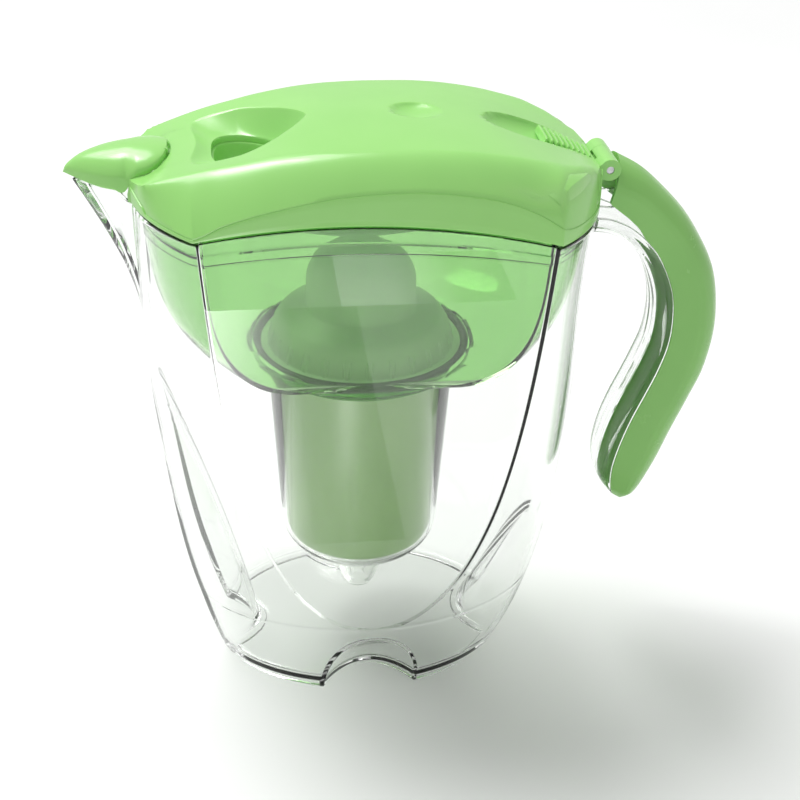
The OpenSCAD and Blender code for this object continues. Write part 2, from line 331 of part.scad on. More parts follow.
// ---- cartridge ----
module cartridge_cap() {
    z0 = 149.4;
    color([0.85, 0.93, 0.82, 0.8]) {
        difference() {
            rotate_extrude($fn = 96) polygon([[41.6, z0 - 0.4], [41.6, z0 + 0.9], [cap_r + 0.3, z0 + 1.1], [cap_r - 1.7, z0 + 9], [cap_r - 4.6, z0 + 13.6], [26, z0 + 16], [22.9, z0 + 17.4],
                [22.4, z0 + 31.5], [19.4, z0 + 38], [12, z0 + 42], [0.01, z0 + 43.4], [0.01, z0 + 41.4], [11.4, z0 + 40], [18, z0 + 36.6], [20.6, z0 + 31], [21.1, z0 + 16.4], [25, z0 + 14], [cap_r - 6, z0 + 11.8],
                [cap_r - 3.6, z0 + 8], [cap_r - 2, z0 - 0.4]]);
            for (i = [0 : 7]) rotate([0, 0, 22.5 + i * 45]) translate([22, 0, z0 + 24]) cube([6, 2.6, 9], center = true);
            for (i = [0 : 5]) rotate([0, 0, i * 60]) translate([8, 0, z0 + 36]) cylinder(r = 1.7, h = 14, $fn = 24);
        }
        for (i = [0 : cap_ribs - 1]) rotate([0, 0, i * 360 / cap_ribs]) translate([cap_r - 1.5, 0, z0 + 4.4]) cube([2.2, 1.1, 7.6], center = true);
    }
}
module cartridge_o_ring() {
    color([0.2, 0.26, 0.22]) rotate_extrude($fn = 96) translate([43.3, 150.5]) circle(r = 1.65, $fn = 20);
}
function shell_r(z) = shell_r_low + (shell_r_top - shell_r_low) * (z - 58) / 90;
module cartridge_shell() {
    t = 1.5;
    color([0.93, 0.95, 0.94, 0.35]) rotate_extrude($fn = 96) polygon(concat(
        [[shell_r(148), 148.2], [shell_r_low, 62], [shell_r_low - 0.8, 56.5], [shell_r_low - 4, 52], [shell_r_low - 9, 49.4], [20, 47.4], [15.2, 46.6]],
        [[15.2, 48.2], [20, 49], [shell_r_low - 9.4, 51], [shell_r_low - 4.8, 53.6], [shell_r_low - 2.2, 57.2], [shell_r_low - t, 62], [shell_r(148) - t, 148.2]]));
}
module cartridge_cup() {
    t = 1.3; r = 1.9;
    color([0.5, 0.72, 0.4]) rotate_extrude($fn = 96) polygon([[shell_r(147) - r, 147.6], [shell_r_low - r, 63], [shell_r_low - 3, 57.6], [shell_r_low - 6, 54.4], [20, 51.6], [6, 50.9],
        [6, 52.4], [20, 53.1], [shell_r_low - 6.8, 56], [shell_r_low - 4.2, 58.8], [shell_r_low - r - t, 63.4], [shell_r(147) - r - t, 147.6]]);
}
module cartridge_nozzle() {
    color([0.93, 0.95, 0.94, 0.35]) rotate_extrude($fn = 72) polygon([[15.1, 46.7], [15.1, 50], [14.2, 50], [13.2, 46], [9.6, 36], [6.2, 27], [4.2, 22.6], [5.6, 21.4], [7.6, 24.6], [11, 34], [14.6, 44.6]]);
}
module disc(z0, z1, gap = 3.6) {
    rotate_extrude($fn = 72) polygon([[0.01, z0], [shell_r(z0) - gap, z0], [shell_r(z1) - gap, z1], [0.01, z1]]);
}
module upper_screen() { color([0.8, 0.82, 0.8]) disc(144.6, 145.6); }
module upper_felt_pad() { color([0.9, 0.91, 0.88]) disc(141.4, 144.4); }
module carbon_bed() { color([0.12, 0.12, 0.12]) disc(104.2, 141.2); }
module divider_pad() { color([0.9, 0.91, 0.88]) disc(101, 104); }
module mineral_bed() { color([0.86, 0.8, 0.66]) disc(67.2, 100.8); }
module lower_felt_pad() { color([0.9, 0.91, 0.88]) disc(64.6, 67); }
module lower_screen() { color([0.8, 0.82, 0.8]) disc(63.6, 64.4, 3.8); }

jug_body();
handle_core();
handle_cover();
hopper();
seat_collar();
hinge_bracket();
lid_hinge_pin();
lid_shell();
lid_hinge_block();
fill_funnel();
nose_hinge_block();
spout_cover();
spout_cover_pin();
cartridge_cap();
cartridge_o_ring();
cartridge_shell();
cartridge_cup();
cartridge_nozzle();
upper_screen();
upper_felt_pad();
carbon_bed();
divider_pad();
mineral_bed();
lower_felt_pad();
lower_screen();
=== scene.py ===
import math

import bmesh
import bpy
import numpy as np
from mathutils import Matrix, Vector


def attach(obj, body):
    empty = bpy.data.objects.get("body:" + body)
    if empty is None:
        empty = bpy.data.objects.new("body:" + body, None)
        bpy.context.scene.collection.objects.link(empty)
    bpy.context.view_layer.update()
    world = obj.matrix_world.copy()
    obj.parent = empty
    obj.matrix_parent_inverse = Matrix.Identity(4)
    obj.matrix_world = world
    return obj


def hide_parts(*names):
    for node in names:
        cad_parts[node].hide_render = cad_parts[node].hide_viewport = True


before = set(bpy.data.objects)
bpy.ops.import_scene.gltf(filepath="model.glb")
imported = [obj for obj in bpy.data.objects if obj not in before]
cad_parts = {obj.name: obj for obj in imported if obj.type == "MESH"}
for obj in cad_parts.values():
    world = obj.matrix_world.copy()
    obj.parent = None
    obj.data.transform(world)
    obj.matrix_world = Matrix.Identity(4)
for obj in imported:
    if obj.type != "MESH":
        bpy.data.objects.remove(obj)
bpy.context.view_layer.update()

MM = 0.001


# ------------------------------------------------------------------ small maths
def clamp(v, a, b):
    return max(a, min(b, v))


def smooth(t):
    u = clamp(t, 0.0, 1.0)
    return u * u * (3 - 2 * u)


def lerp(a, b, t):
    return a + (b - a) * t


def spread(a, b, n, ends="both"):
    """n+1 values from a to b, packed closer at the named ends."""
    out = []
    for i in range(n + 1):
        u = i / n
        if ends == "both":
            u = 0.5 - 0.5 * math.cos(math.pi * u)
        elif ends == "last":
            u = math.sin(math.pi / 2 * u)
        elif ends == "first":
            u = 1 - math.cos(math.pi / 2 * u)
        out.append(a + (b - a) * u)
    return out


def pchip(table):
    """Smooth curve through the points of a table that never overshoots them."""
    xs = [p[0] for p in table]
    ys = [p[1] for p in table]
    n = len(xs)
    h = [xs[i + 1] - xs[i] for i in range(n - 1)]
    d = [(ys[i + 1] - ys[i]) / h[i] for i in range(n - 1)]
    m = [d[0]] + [0.0] * (n - 2) + [d[-1]]
    for i in range(1, n - 1):
        if d[i - 1] * d[i] > 0:
            w1, w2 = 2 * h[i] + h[i - 1], h[i] + 2 * h[i - 1]
            m[i] = (w1 + w2) / (w1 / d[i - 1] + w2 / d[i])

    def at(x):
        if x <= xs[0]:
            return ys[0]
        if x >= xs[-1]:
            return ys[-1]
        i = 0
        while x > xs[i + 1]:
            i += 1
        t = (x - xs[i]) / h[i]
        a, b = t * t * (3 - 2 * t), 1 - t * t * (3 - 2 * t)
        return ys[i] * b + ys[i + 1] * a + h[i] * (m[i] * t * (1 - t) ** 2 - m[i + 1] * t * t * (1 - t))

    return at


# ------------------------------------------------------------------ mesh helpers
def make(name, verts, faces, body, mat, replaces=(), slot=None, sharp=32.0, weld=True):
    """Mesh piece from points in mm, smooth shaded with its real edges kept, riding on a CAD body."""
    me = bpy.data.meshes.new(name)
    v = np.asarray(verts, float) * MM
    me.from_pydata([tuple(p) for p in v], [], [tuple(int(i) for i in f) for f in faces])
    bm = bmesh.new()
    bm.from_mesh(me)
    if weld:
        bmesh.ops.remove_doubles(bm, verts=bm.verts, dist=2e-6)
    bmesh.ops.dissolve_degenerate(bm, edges=bm.edges, dist=1e-7)
    bmesh.ops.recalc_face_normals(bm, faces=bm.faces)
    bm.to_mesh(me)
    bm.free()
    me.polygons.foreach_set("use_smooth", [True] * len(me.polygons))
    me.set_sharp_from_angle(angle=math.radians(sharp))
    me.update()
    ob = bpy.data.objects.new(name, me)
    bpy.context.scene.collection.objects.link(ob)
    me.materials.append(mat)
    if replaces:
        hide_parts(*replaces)
    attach(ob, body)
    return ob


def loft(rows, loop=False, caps=(True, True), base=0):
    """Closed rows of points -> points and faces. Caps close in on the middle in rings."""
    rows = [list(map(tuple, r)) for r in rows]
    n, m = len(rows), len(rows[0])
    verts = [p for r in rows for p in r]
    faces = []
    for i in range(n if loop else n - 1):
        k = (i + 1) % n
        for j in range(m):
            l = (j + 1) % m
            faces.append((base + i * m + j, base + i * m + l, base + k * m + l, base + k * m + j))
    if not loop:
        for which, want in zip((0, n - 1), caps):
            if not want:
                continue
            ring = rows[which]
            a, b = ring[0], ring[m // 2]
            mid = tuple((a[t] + b[t]) / 2 for t in range(3))
            last = base + which * m
            for s in (0.985, 0.9, 0.7, 0.4, 0.15):
                start = base + len(verts)
                verts += [tuple(mid[t] + (p[t] - mid[t]) * s for t in range(3)) for p in ring]
                for j in range(m):
                    l = (j + 1) % m
                    faces.append((last + j, last + l, start + l, start + j))
                last = start
            verts.append(mid)
            for j in range(m):
                faces.append((last + j, last + (j + 1) % m, base + len(verts) - 1))
    return verts, faces


def join(*parts):
    verts, faces = [], []
    for v, f in parts:
        b = len(verts)
        verts += list(v)
        faces += [tuple(i + b for i in q) for q in f]
    return verts, faces


def relax(ring, times=1, keep=()):
    """Rounds the corners of a closed row in plan."""
    p = np.array(ring, float)
    hold = list(keep)
    for _ in range(times):
        q = p.copy()
        q[:, :2] = 0.25 * np.roll(p, 1, 0)[:, :2] + 0.5 * p[:, :2] + 0.25 * np.roll(p, -1, 0)[:, :2]
        if hold:
            q[hold] = p[hold]
        p = q
    return p


def mirror_rows(h):
    return list(h) + [(p[0], -p[1], p[2]) for p in h[-2:0:-1]]


def rounded(poly, r, steps=4):
    """Closed polygon with each corner turned into a small arc; r is one radius or one per corner."""
    n = len(poly)
    out = []
    for i in range(n):
        a, b, c = np.array(poly[i - 1], float), np.array(poly[i], float), np.array(poly[(i + 1) % n], float)
        u, w = a - b, c - b
        lu, lw_ = np.linalg.norm(u), np.linalg.norm(w)
        rr = r[i] if isinstance(r, (list, tuple)) else r
        cut = min(rr, lu * 0.45, lw_ * 0.45)
        if cut < 0.02 or lu < 1e-9 or lw_ < 1e-9:
            out.append(tuple(b))
            continue
        p, q = b + u / lu * cut, b + w / lw_ * cut
        for k in range(steps + 1):
            t = k / steps
            out.append(tuple((1 - t) ** 2 * p + 2 * t * (1 - t) * b + t * t * q))
    return out


def revolve(profile, seg=192, warp=None):
    """Closed (r, z) profile turned round Z. warp(r, z, angle) may move the radius."""
    rows = []
    for k in range(seg):
        t = 2 * math.pi * k / seg
        ct, st = math.cos(t), math.sin(t)
        row = []
        for r, z in profile:
            rr, zz = (r, z) if warp is None else warp(r, z, t)
            row.append((rr * ct, rr * st, zz))
        rows.append(row)
    return loft(rows, loop=True)


def revolve_open(profile, seg=192):
    """(r, z) chain whose ends lie on the axis, turned round Z."""
    verts, faces, m = [], [], len(profile)
    for k in range(seg):
        t = 2 * math.pi * k / seg
        verts += [(r * math.cos(t), r * math.sin(t), z) for r, z in profile]
    for k in range(seg):
        l = (k + 1) % seg
        for j in range(m - 1):
            faces.append((k * m + j, k * m + j + 1, l * m + j + 1, l * m + j))
    return verts, faces


# ------------------------------------------------------------------ materials
class Mat:
    """Builds a node material step by step."""

    def __init__(self, name):
        self.m = bpy.data.materials.new(name)
        self.m.use_nodes = True
        self.t = self.m.node_tree
        self.t.nodes.clear()
        self.out = self.t.nodes.new("ShaderNodeOutputMaterial")
        self.co = None

    def node(self, kind, **props):
        n = self.t.nodes.new(kind)
        for k, v in props.items():
            setattr(n, k, v)
        return n

    def link(self, a, b):
        self.t.links.new(a, b)

    def coord(self):
        if self.co is None:
            self.co = self.node("ShaderNodeTexCoord").outputs["Object"]
        return self.co

    def noise(self, scale, detail=4.0, rough=0.55, stretch=None):
        src = self.coord()
        if stretch is not None:
            mp = self.node("ShaderNodeMapping")
            mp.inputs["Scale"].default_value = stretch
            self.link(src, mp.inputs["Vector"])
            src = mp.outputs[0]
        n = self.node("ShaderNodeTexNoise")
        n.inputs["Scale"].default_value = scale
        n.inputs["Detail"].default_value = detail
        n.inputs["Roughness"].default_value = rough
        self.link(src, n.inputs["Vector"])
        return n.outputs["Fac"]

    def remap(self, src, lo, hi, a=0.3, b=0.7):
        n = self.node("ShaderNodeMapRange")
        n.inputs["From Min"].default_value = a
        n.inputs["From Max"].default_value = b
        n.inputs["To Min"].default_value = lo
        n.inputs["To Max"].default_value = hi
        self.link(src, n.inputs["Value"])
        return n.outputs[0]

    def mix(self, fac, a, b):
        n = self.node("ShaderNodeMix", data_type="RGBA")
        self.link(fac, n.inputs["Factor"])
        n.inputs[6].default_value = (*a, 1) if not hasattr(a, "is_linked") else n.inputs[6].default_value
        n.inputs[7].default_value = (*b, 1)
        if hasattr(a, "is_linked"):
            self.link(a, n.inputs[6])
        return n.outputs[2]

    def bump(self, height, strength, distance, under=None):
        n = self.node("ShaderNodeBump")
        n.inputs["Strength"].default_value = strength
        n.inputs["Distance"].default_value = distance
        self.link(height, n.inputs["Height"])
        if under is not None:
            self.link(under, n.inputs["Normal"])
        return n.outputs[0]

    def done(self, shader):
        self.link(shader, self.out.inputs["Surface"])
        return self.m


def plastic(name, base, deep, rough=(0.24, 0.34), sss=0.0, coat=0.0, coat_rough=0.1, spec=0.5, grain=0.00004, ripple=0.0, radius=(0.004, 0.006, 0.003)):
    """Opaque moulded plastic: faint flow clouding, fine orange peel, roughness that wanders."""
    k = Mat(name)
    p = k.node("ShaderNodeBsdfPrincipled")
    cloud = k.noise(16, 3)
    k.link(k.mix(k.remap(cloud, 0, 1), base, deep), p.inputs["Base Color"])
    fine = k.noise(900, 2)
    k.link(k.remap(k.noise(60, 6, 0.7), rough[0], rough[1]), p.inputs["Roughness"])
    n1 = k.bump(fine, 0.25, grain)
    if ripple:
        n1 = k.bump(k.noise(22, 2), 0.4, ripple, n1)
    k.link(n1, p.inputs["Normal"])
    p.inputs["Specular IOR Level"].default_value = spec
    if sss:
        p.inputs["Subsurface Weight"].default_value = sss
        p.inputs["Subsurface Radius"].default_value = (1.0, 1.0, 0.7)
        p.inputs["Subsurface Scale"].default_value = radius[0]
    if coat:
        p.inputs["Coat Weight"].default_value = coat
        p.inputs["Coat Roughness"].default_value = coat_rough
    return k.done(p.outputs[0])


def clear(name, tint, deep, rough=(0.0, 0.03), ior=1.49, shadow=(0.86, 0.87, 0.865), ripple=0.00005, wave=18.0, spec=0.5):
    """Clear or tinted see-through plastic with faint moulding waves and handling haze."""
    k = Mat(name)
    p = k.node("ShaderNodeBsdfPrincipled")
    p.inputs["Transmission Weight"].default_value = 1.0
    p.inputs["IOR"].default_value = ior
    p.inputs["Specular IOR Level"].default_value = spec
    k.link(k.mix(k.remap(k.noise(9, 3), 0, 1), tint, deep), p.inputs["Base Color"])
    k.link(k.remap(k.noise(34, 7, 0.75), rough[0], rough[1], 0.42, 0.75), p.inputs["Roughness"])
    k.link(k.bump(k.noise(wave, 1.5), 0.5, ripple), p.inputs["Normal"])
    t = k.node("ShaderNodeBsdfTransparent")
    t.inputs["Color"].default_value = (*shadow, 1)
    lp = k.node("ShaderNodeLightPath")
    either = k.node("ShaderNodeMath", operation="MAXIMUM")
    k.link(lp.outputs["Is Shadow Ray"], either.inputs[0])
    k.link(lp.outputs["Is Diffuse Ray"], either.inputs[1])
    mx = k.node("ShaderNodeMixShader")
    k.link(either.outputs[0], mx.inputs[0])
    k.link(p.outputs[0], mx.inputs[1])
    k.link(t.outputs[0], mx.inputs[2])
    return k.done(mx.outputs[0])


def milky(name, base, deep, rough=(0.3, 0.42), through=0.45, alpha=0.8):
    """Frosted see-through plastic: scatters light, lets some straight through."""
    k = Mat(name)
    p = k.node("ShaderNodeBsdfPrincipled")
    k.link(k.mix(k.remap(k.noise(20, 3), 0, 1), base, deep), p.inputs["Base Color"])
    k.link(k.remap(k.noise(70, 5, 0.7), rough[0], rough[1]), p.inputs["Roughness"])
    k.link(k.bump(k.noise(600, 2), 0.2, 0.00003), p.inputs["Normal"])
    p.inputs["Subsurface Weight"].default_value = 0.35
    p.inputs["Subsurface Radius"].default_value = (1, 1, 1)
    p.inputs["Subsurface Scale"].default_value = 0.004
    tl = k.node("ShaderNodeBsdfTranslucent")
    k.link(k.mix(k.remap(k.noise(20, 3), 0, 1), base, deep), tl.inputs["Color"])
    m1 = k.node("ShaderNodeMixShader")
    m1.inputs[0].default_value = through
    k.link(p.outputs[0], m1.inputs[1])
    k.link(tl.outputs[0], m1.inputs[2])
    if alpha < 1:
        t = k.node("ShaderNodeBsdfTransparent")
        t.inputs["Color"].default_value = (*[min(1, c * 1.15) for c in base], 1)
        m2 = k.node("ShaderNodeMixShader")
        m2.inputs[0].default_value = alpha
        k.link(t.outputs[0], m2.inputs[1])
        k.link(m1.outputs[0], m2.inputs[2])
        return k.done(m2.outputs[0])
    return k.done(m1.outputs[0])


def steel(name):
    k = Mat(name)
    p = k.node("ShaderNodeBsdfPrincipled")
    p.inputs["Metallic"].default_value = 1
    brushed = k.noise(500, 3, 0.6, (1, 0.05, 1))
    k.link(k.mix(k.remap(brushed, 0, 1), (0.62, 0.62, 0.63), (0.48, 0.48, 0.5)), p.inputs["Base Color"])
    k.link(k.remap(brushed, 0.2, 0.38), p.inputs["Roughness"])
    k.link(k.bump(brushed, 0.3, 0.00002), p.inputs["Normal"])
    return k.done(p.outputs[0])


def rubber(name, base=(0.035, 0.055, 0.04)):
    k = Mat(name)
    p = k.node("ShaderNodeBsdfPrincipled")
    k.link(k.mix(k.remap(k.noise(50, 4), 0, 1), base, tuple(c * 1.8 for c in base)), p.inputs["Base Color"])
    k.link(k.remap(k.noise(140, 4), 0.38, 0.55), p.inputs["Roughness"])
    k.link(k.bump(k.noise(1400, 2), 0.3, 0.00004), p.inputs["Normal"])
    return k.done(p.outputs[0])


def felt(name, a=(0.78, 0.79, 0.74), b=(0.62, 0.63, 0.58)):
    k = Mat(name)
    p = k.node("ShaderNodeBsdfPrincipled")
    fibre = k.noise(420, 8, 0.8, (1, 1, 2.5))
    k.link(k.mix(k.remap(fibre, 0, 1), a, b), p.inputs["Base Color"])
    k.link(k.remap(fibre, 0.85, 1.0), p.inputs["Roughness"])
    k.link(k.bump(fibre, 0.8, 0.0004), p.inputs["Normal"])
    p.inputs["Sheen Weight"].default_value = 0.3
    return k.done(p.outputs[0])


def grains(name, a, b, size=900, rough=(0.5, 0.9)):
    """A bed of loose granules."""
    k = Mat(name)
    p = k.node("ShaderNodeBsdfPrincipled")
    v = k.node("ShaderNodeTexVoronoi")
    v.inputs["Scale"].default_value = size
    k.link(k.coord(), v.inputs["Vector"])
    k.link(k.mix(k.remap(v.outputs["Color"], 0, 1, 0.1, 0.9), a, b), p.inputs["Base Color"])
    k.link(k.remap(k.noise(300, 4), rough[0], rough[1]), p.inputs["Roughness"])
    k.link(k.bump(v.outputs["Distance"], 1.0, 0.0006), p.inputs["Normal"])
    return k.done(p.outputs[0])


def mesh_screen(name):
    k = Mat(name)
    p = k.node("ShaderNodeBsdfPrincipled")
    w1 = k.node("ShaderNodeTexWave", wave_type="BANDS", bands_direction="X")
    w2 = k.node("ShaderNodeTexWave", wave_type="BANDS", bands_direction="Y")
    for w in (w1, w2):
        w.inputs["Scale"].default_value = 420
        k.link(k.coord(), w.inputs["Vector"])
    mx = k.node("ShaderNodeMath", operation="MAXIMUM")
    k.link(w1.outputs["Fac"], mx.inputs[0])
    k.link(w2.outputs["Fac"], mx.inputs[1])
    k.link(k.mix(mx.outputs[0], (0.25, 0.27, 0.25), (0.75, 0.77, 0.74)), p.inputs["Base Color"])
    k.link(k.remap(mx.outputs[0], 0.6, 0.4, 0, 1), p.inputs["Roughness"])
    k.link(k.bump(mx.outputs[0], 0.9, 0.0003), p.inputs["Normal"])
    return k.done(p.outputs[0])


LIME, LIME_DEEP = (0.315, 0.66, 0.185), (0.285, 0.62, 0.165)
M_LID = plastic("moulded_green", LIME, LIME_DEEP, rough=(0.19, 0.27), sss=0.12, spec=0.5, radius=(0.003,))
# the lid's green made darker for the handle cover: painted shade standing in for the shade on the handle's side
M_COVER_SHADED = plastic("handle_green_painted_shade", (0.25, 0.55, 0.14), (0.22, 0.50, 0.12), rough=(0.2, 0.29), sss=0.10, spec=0.55, radius=(0.003,))
M_CLEAR = clear("clear_plastic", (0.985, 0.99, 0.985), (0.97, 0.98, 0.972), rough=(0.0, 0.02), shadow=(0.92, 0.925, 0.92))
M_HANDLE = clear("clear_handle", (0.98, 0.987, 0.98), (0.965, 0.975, 0.967), rough=(0.0, 0.02), shadow=(0.9, 0.91, 0.9))
M_HOPPER = clear("green_clear", (0.54, 0.80, 0.44), (0.49, 0.76, 0.39), rough=(0.02, 0.06), ior=1.45, shadow=(0.88, 0.96, 0.84))
M_SHELL = clear("cartridge_clear", (0.97, 0.985, 0.965), (0.95, 0.97, 0.95), rough=(0.0, 0.03), shadow=(0.95, 0.96, 0.95))
M_CUP = plastic("cartridge_green", (0.33, 0.58, 0.19), (0.28, 0.52, 0.165), rough=(0.3, 0.42), sss=0.2, radius=(0.004,))
M_CAP = milky("cartridge_milky", (0.88, 0.94, 0.86), (0.81, 0.89, 0.79))
M_RING = rubber("seal_rubber", (0.06, 0.085, 0.06))
M_STEEL = steel("pin_steel")
M_FELT = felt("filter_felt")
M_CARBON = grains("carbon_granules", (0.012, 0.012, 0.013), (0.05, 0.05, 0.052))
M_MINERAL = grains("mineral_granules", (0.55, 0.46, 0.3), (0.75, 0.68, 0.5), 700)
M_SCREEN = mesh_screen("filter_screen")

# ------------------------------------------------------------------ the jug's section (mm)
RIM0, CX, PANEL, WALL, FLOOR_T = 214.7, 2.0, 53.0, 2.8, 4.0
SC_SPOUT, SC_HANDLE, ARCH, ARCH_HALF, SC_HALF = 137.0, 58.0, 28.0, 20.1, 18.3


def ja(z):
    return 66.5 + 22.2 * (1 - math.exp(-z / 45)) + 0.017 * z


def jb(z):
    return PANEL + 33 * (1 - math.exp(-(z - 33) / 140)) if z > 33 else 52.4 + 0.6 * (z / 33) ** 2


def jc(z):
    return CX * (1 - math.exp(-z / 15))


def rim_z(x, y):
    return RIM0 - 0.042 * x + 4.3 * smooth((-88 - x) / 7) + (7.5 * max(0.0, 1 - ((x - CX) / 68) ** 2) if abs(y) > PANEL - 4.5 else 0.0)


def lw(z):
    if z < SC_SPOUT - 0.5:
        return SC_HALF * math.sqrt(1 - (z / SC_SPOUT) ** 5)
    return 2.5 if z < 166 else max(2.5, 14.5 * math.sqrt((z - 165) / 50))


def ld(z):
    if z < SC_SPOUT:
        return max(0.0, ja(z) - jc(z) - (47.6 + 0.19 * z + 0.00075 * z * z))
    return 0.0 if z < 165 else -(23.9 * ((z - 165) / 49.7) ** 1.55 + 89.3 - (ja(z) - jc(z)))


def rw(z):
    return 20 * math.sqrt(1 - (z / SC_HANDLE) ** 3) if z < SC_HANDLE - 0.5 else 2.5


def rd(z):
    return max(0.0, ja(z) + jc(z) - (48.6 + 0.5 * z + 0.0024 * z * z)) * smooth((SC_HANDLE - z) / 6) if z < SC_HANDLE else 0.0


def fw(z):
    if z < ARCH - 0.3:
        return max(2.0, ARCH_HALF * math.sqrt(1 - (z / ARCH) ** 2.2))
    return 2.0


def fd(z):
    return max(0.0, jb(z) - (36 + 0.25 * z + 0.0128 * z * z)) if z < ARCH else 0.0


NA, NB, NC, ND, NE = 18, 26, 60, 26, 14


def half_ring(z, o, zt=True, zfix=None):
    q = clamp(o / WALL, 0.0, 2.4)
    a, b, c, p = ja(z) - o, jb(z) - o, jc(z), PANEL - o * 0.93
    sp = z > 160
    wl = max(2.5, lw(z) + (-1.2 if sp else 1.2) * min(q, 1.0))
    dl0 = ld(z)
    dl = lerp(dl0, min(0.0, dl0 * 0.93 + 1.4), min(q, 1.0)) if sp else dl0
    wr, dr = rw(z) + 1.2 * min(q, 1.0), rd(z)
    wf, df = fw(z) + (1.2 * min(q, 1.0) if z < ARCH else 0.0), fd(z)
    if z > 33.5:
        wfe = max(2.0, a * math.sqrt(max(0.0, 1 - (p / b) ** 2)))
    else:
        wfe = wf
    t0, t1 = math.asin(clamp(wl / b, -1, 1)), math.acos(clamp(wfe / a, -1, 1))
    t2, t3 = math.pi - t1, math.pi - math.asin(clamp(wr / b, -1, 1))
    pts = []
    for y in spread(0, wl, NA, "last")[:-1]:
        k = y / wl
        pts.append((c - a * math.sqrt(1 - (y / b) ** 2) + dl * (1 - k if sp else 1 - k * k), -y))
    for t in spread(t0, t1, NB)[:-1]:
        pts.append((c - a * math.cos(t), -b * math.sin(t)))
    for x in spread(-wfe, wfe, NC)[:-1]:
        k = x / wfe
        pts.append((c + x, -min(b * math.sqrt(max(0.0, 1 - (x / a) ** 2)), p if z > 33.5 else b) + df * (1 - k * k)))
    for t in spread(t2, t3, ND)[:-1]:
        pts.append((c - a * math.cos(t), -b * math.sin(t)))
    for y in spread(wr, 0, NE, "first"):
        k = y / wr
        pts.append((c + a * math.sqrt(1 - (y / b) ** 2) - dr * (1 - k * k), -y))
    out = []
    for x, y in pts:
        zz = z + (z / RIM0) ** 6 * (rim_z(x, y) - RIM0) if zt else z
        out.append((x, y, zz if zfix is None else zfix))
    return out


def jug_row(z, o, zt=True, zfix=None, soften=2):
    ring = mirror_rows(half_ring(z, o, zt, zfix))
    p = relax(ring, soften)
    if zt and zfix is None:
        # the rim height goes with the softened plan
        for i in range(len(p)):
            p[i, 2] = ring[i][2]
    return [tuple(v) for v in p]


def jug_body():
    zs = list(np.arange(2.0, 25.0, 1.0)) + list(np.arange(25.0, 36.0, 0.5)) + list(np.arange(36.0, 60.0, 1.0))
    zs += list(np.arange(60.0, 130.0, 2.0)) + list(np.arange(130.0, 139.0, 0.75)) + list(np.arange(139.0, 164.0, 2.0))
    zs += list(np.arange(164.0, 213.9, 1.25))
    rows = []
    # recessed underside and foot ring
    rows.append(jug_row(1.2, 7.5, False, 1.3))
    rows.append(jug_row(1.2, 5.6, False, 1.3))
    rows.append(jug_row(1.2, 5.0, False, 1.1))
    rows.append(jug_row(1.2, 4.7, False, 0.5))
    rows.append(jug_row(0.2, 4.3, False, 0.08))
    rows.append(jug_row(0.0, 3.9, False, 0.0))
    rows.append(jug_row(0.0, 1.5, False, 0.0))
    rows.append(jug_row(0.2, 0.9, False, 0.08))
    rows.append(jug_row(0.5, 0.35, False, 0.35))
    rows.append(jug_row(1.2, 0.05, False, 1.0))
    for z in zs:
        rows.append(jug_row(float(z), 0.0))
    for z, o in ((214.0, 0.03), (214.45, 0.2), (214.66, 0.55), (214.7, 1.0), (214.7, 1.8), (214.66, 2.25), (214.45, 2.6), (214.0, 2.77)):
        rows.append(jug_row(z, o))
    for z in reversed([z for z in zs if z >= 8.0]):
        rows.append(jug_row(float(z), WALL))
    for z, o, f in ((6.6, 2.9, 6.6), (5.4, 3.2, 5.4), (4.6, 3.8, 4.6), (4.15, 4.6, 4.15), (4.0, 5.6, 4.0), (4.0, 7.0, 4.0)):
        rows.append(jug_row(z, o, False, f))
    return loft(rows)


# ------------------------------------------------------------------ handle
ST = [[[95, 230], [94, 196.5]], [[99, 229.4], [98.5, 196]], [[104.5, 227.4], [102.2, 195]], [[113, 222.8], [107, 192.8]], [[122.6, 214.6], [112, 189]],
      [[133.1, 203.8], [116.7, 183]], [[141.6, 191.8], [120.3, 175.5]], [[148.7, 178.7], [123, 166]], [[152.5, 163.9], [123.8, 156]],
      [[153.7, 147.8], [122.8, 145]], [[151.6, 130.4], [119.5, 134.5]], [[146.8, 115.7], [115.8, 124.5]], [[140.7, 98.7], [111, 112]],
      [[135.8, 84], [107.6, 99.5]], [[130.8, 72.5], [106.3, 87]], [[127, 66.5], [108.3, 76]], [[121.5, 63.6], [112.8, 69.3]]]


def catmull(points, s):
    """Point at parameter s along a smooth curve through points (numpy rows)."""
    n = len(points)
    i = int(clamp(math.floor(s), 0, n - 2))
    t = s - i
    p1, p2 = points[i], points[i + 1]
    p0 = points[i - 1] if i > 0 else 2 * p1 - p2
    p3 = points[i + 2] if i + 2 < n else 2 * p2 - p1
    return 0.5 * ((2 * p1) + (-p0 + p2) * t + (2 * p0 - 5 * p1 + 4 * p2 - p3) * t * t + (-p0 + 3 * p1 - 3 * p2 + p3) * t ** 3)


def table_at(tab, s):
    i = int(clamp(math.floor(s), 0, len(tab) - 2))
    return lerp(tab[i], tab[i + 1], clamp(s - i, 0, 1))


def section_loft(section, S, s0, s1, n, width):
    """Closed section polygon (y, v) carried along stations S, closed at both ends with flat faces."""
    P = np.array([[q[0][0], q[0][1], q[1][0], q[1][1]] for q in S], float)
    rows = []
    for i in range(n + 1):
        s = lerp(s0, s1, i / n)
        q = catmull(P, s)
        w = width(s)
        rows.append([(q[0] + (q[2] - q[0]) * v, y * w, q[1] + (q[3] - q[1]) * v) for y, v in section(s)])
    m = len(rows[0])
    verts = [p for r in rows for p in r]
    faces = []
    for i in range(n):
        for j in range(m):
            l = (j + 1) % m
            faces.append((i * m + j, i * m + l, (i + 1) * m + l, (i + 1) * m + j))
    faces.append(tuple(range(m)))
    faces.append(tuple(n * m + j for j in range(m)))
    return verts, faces


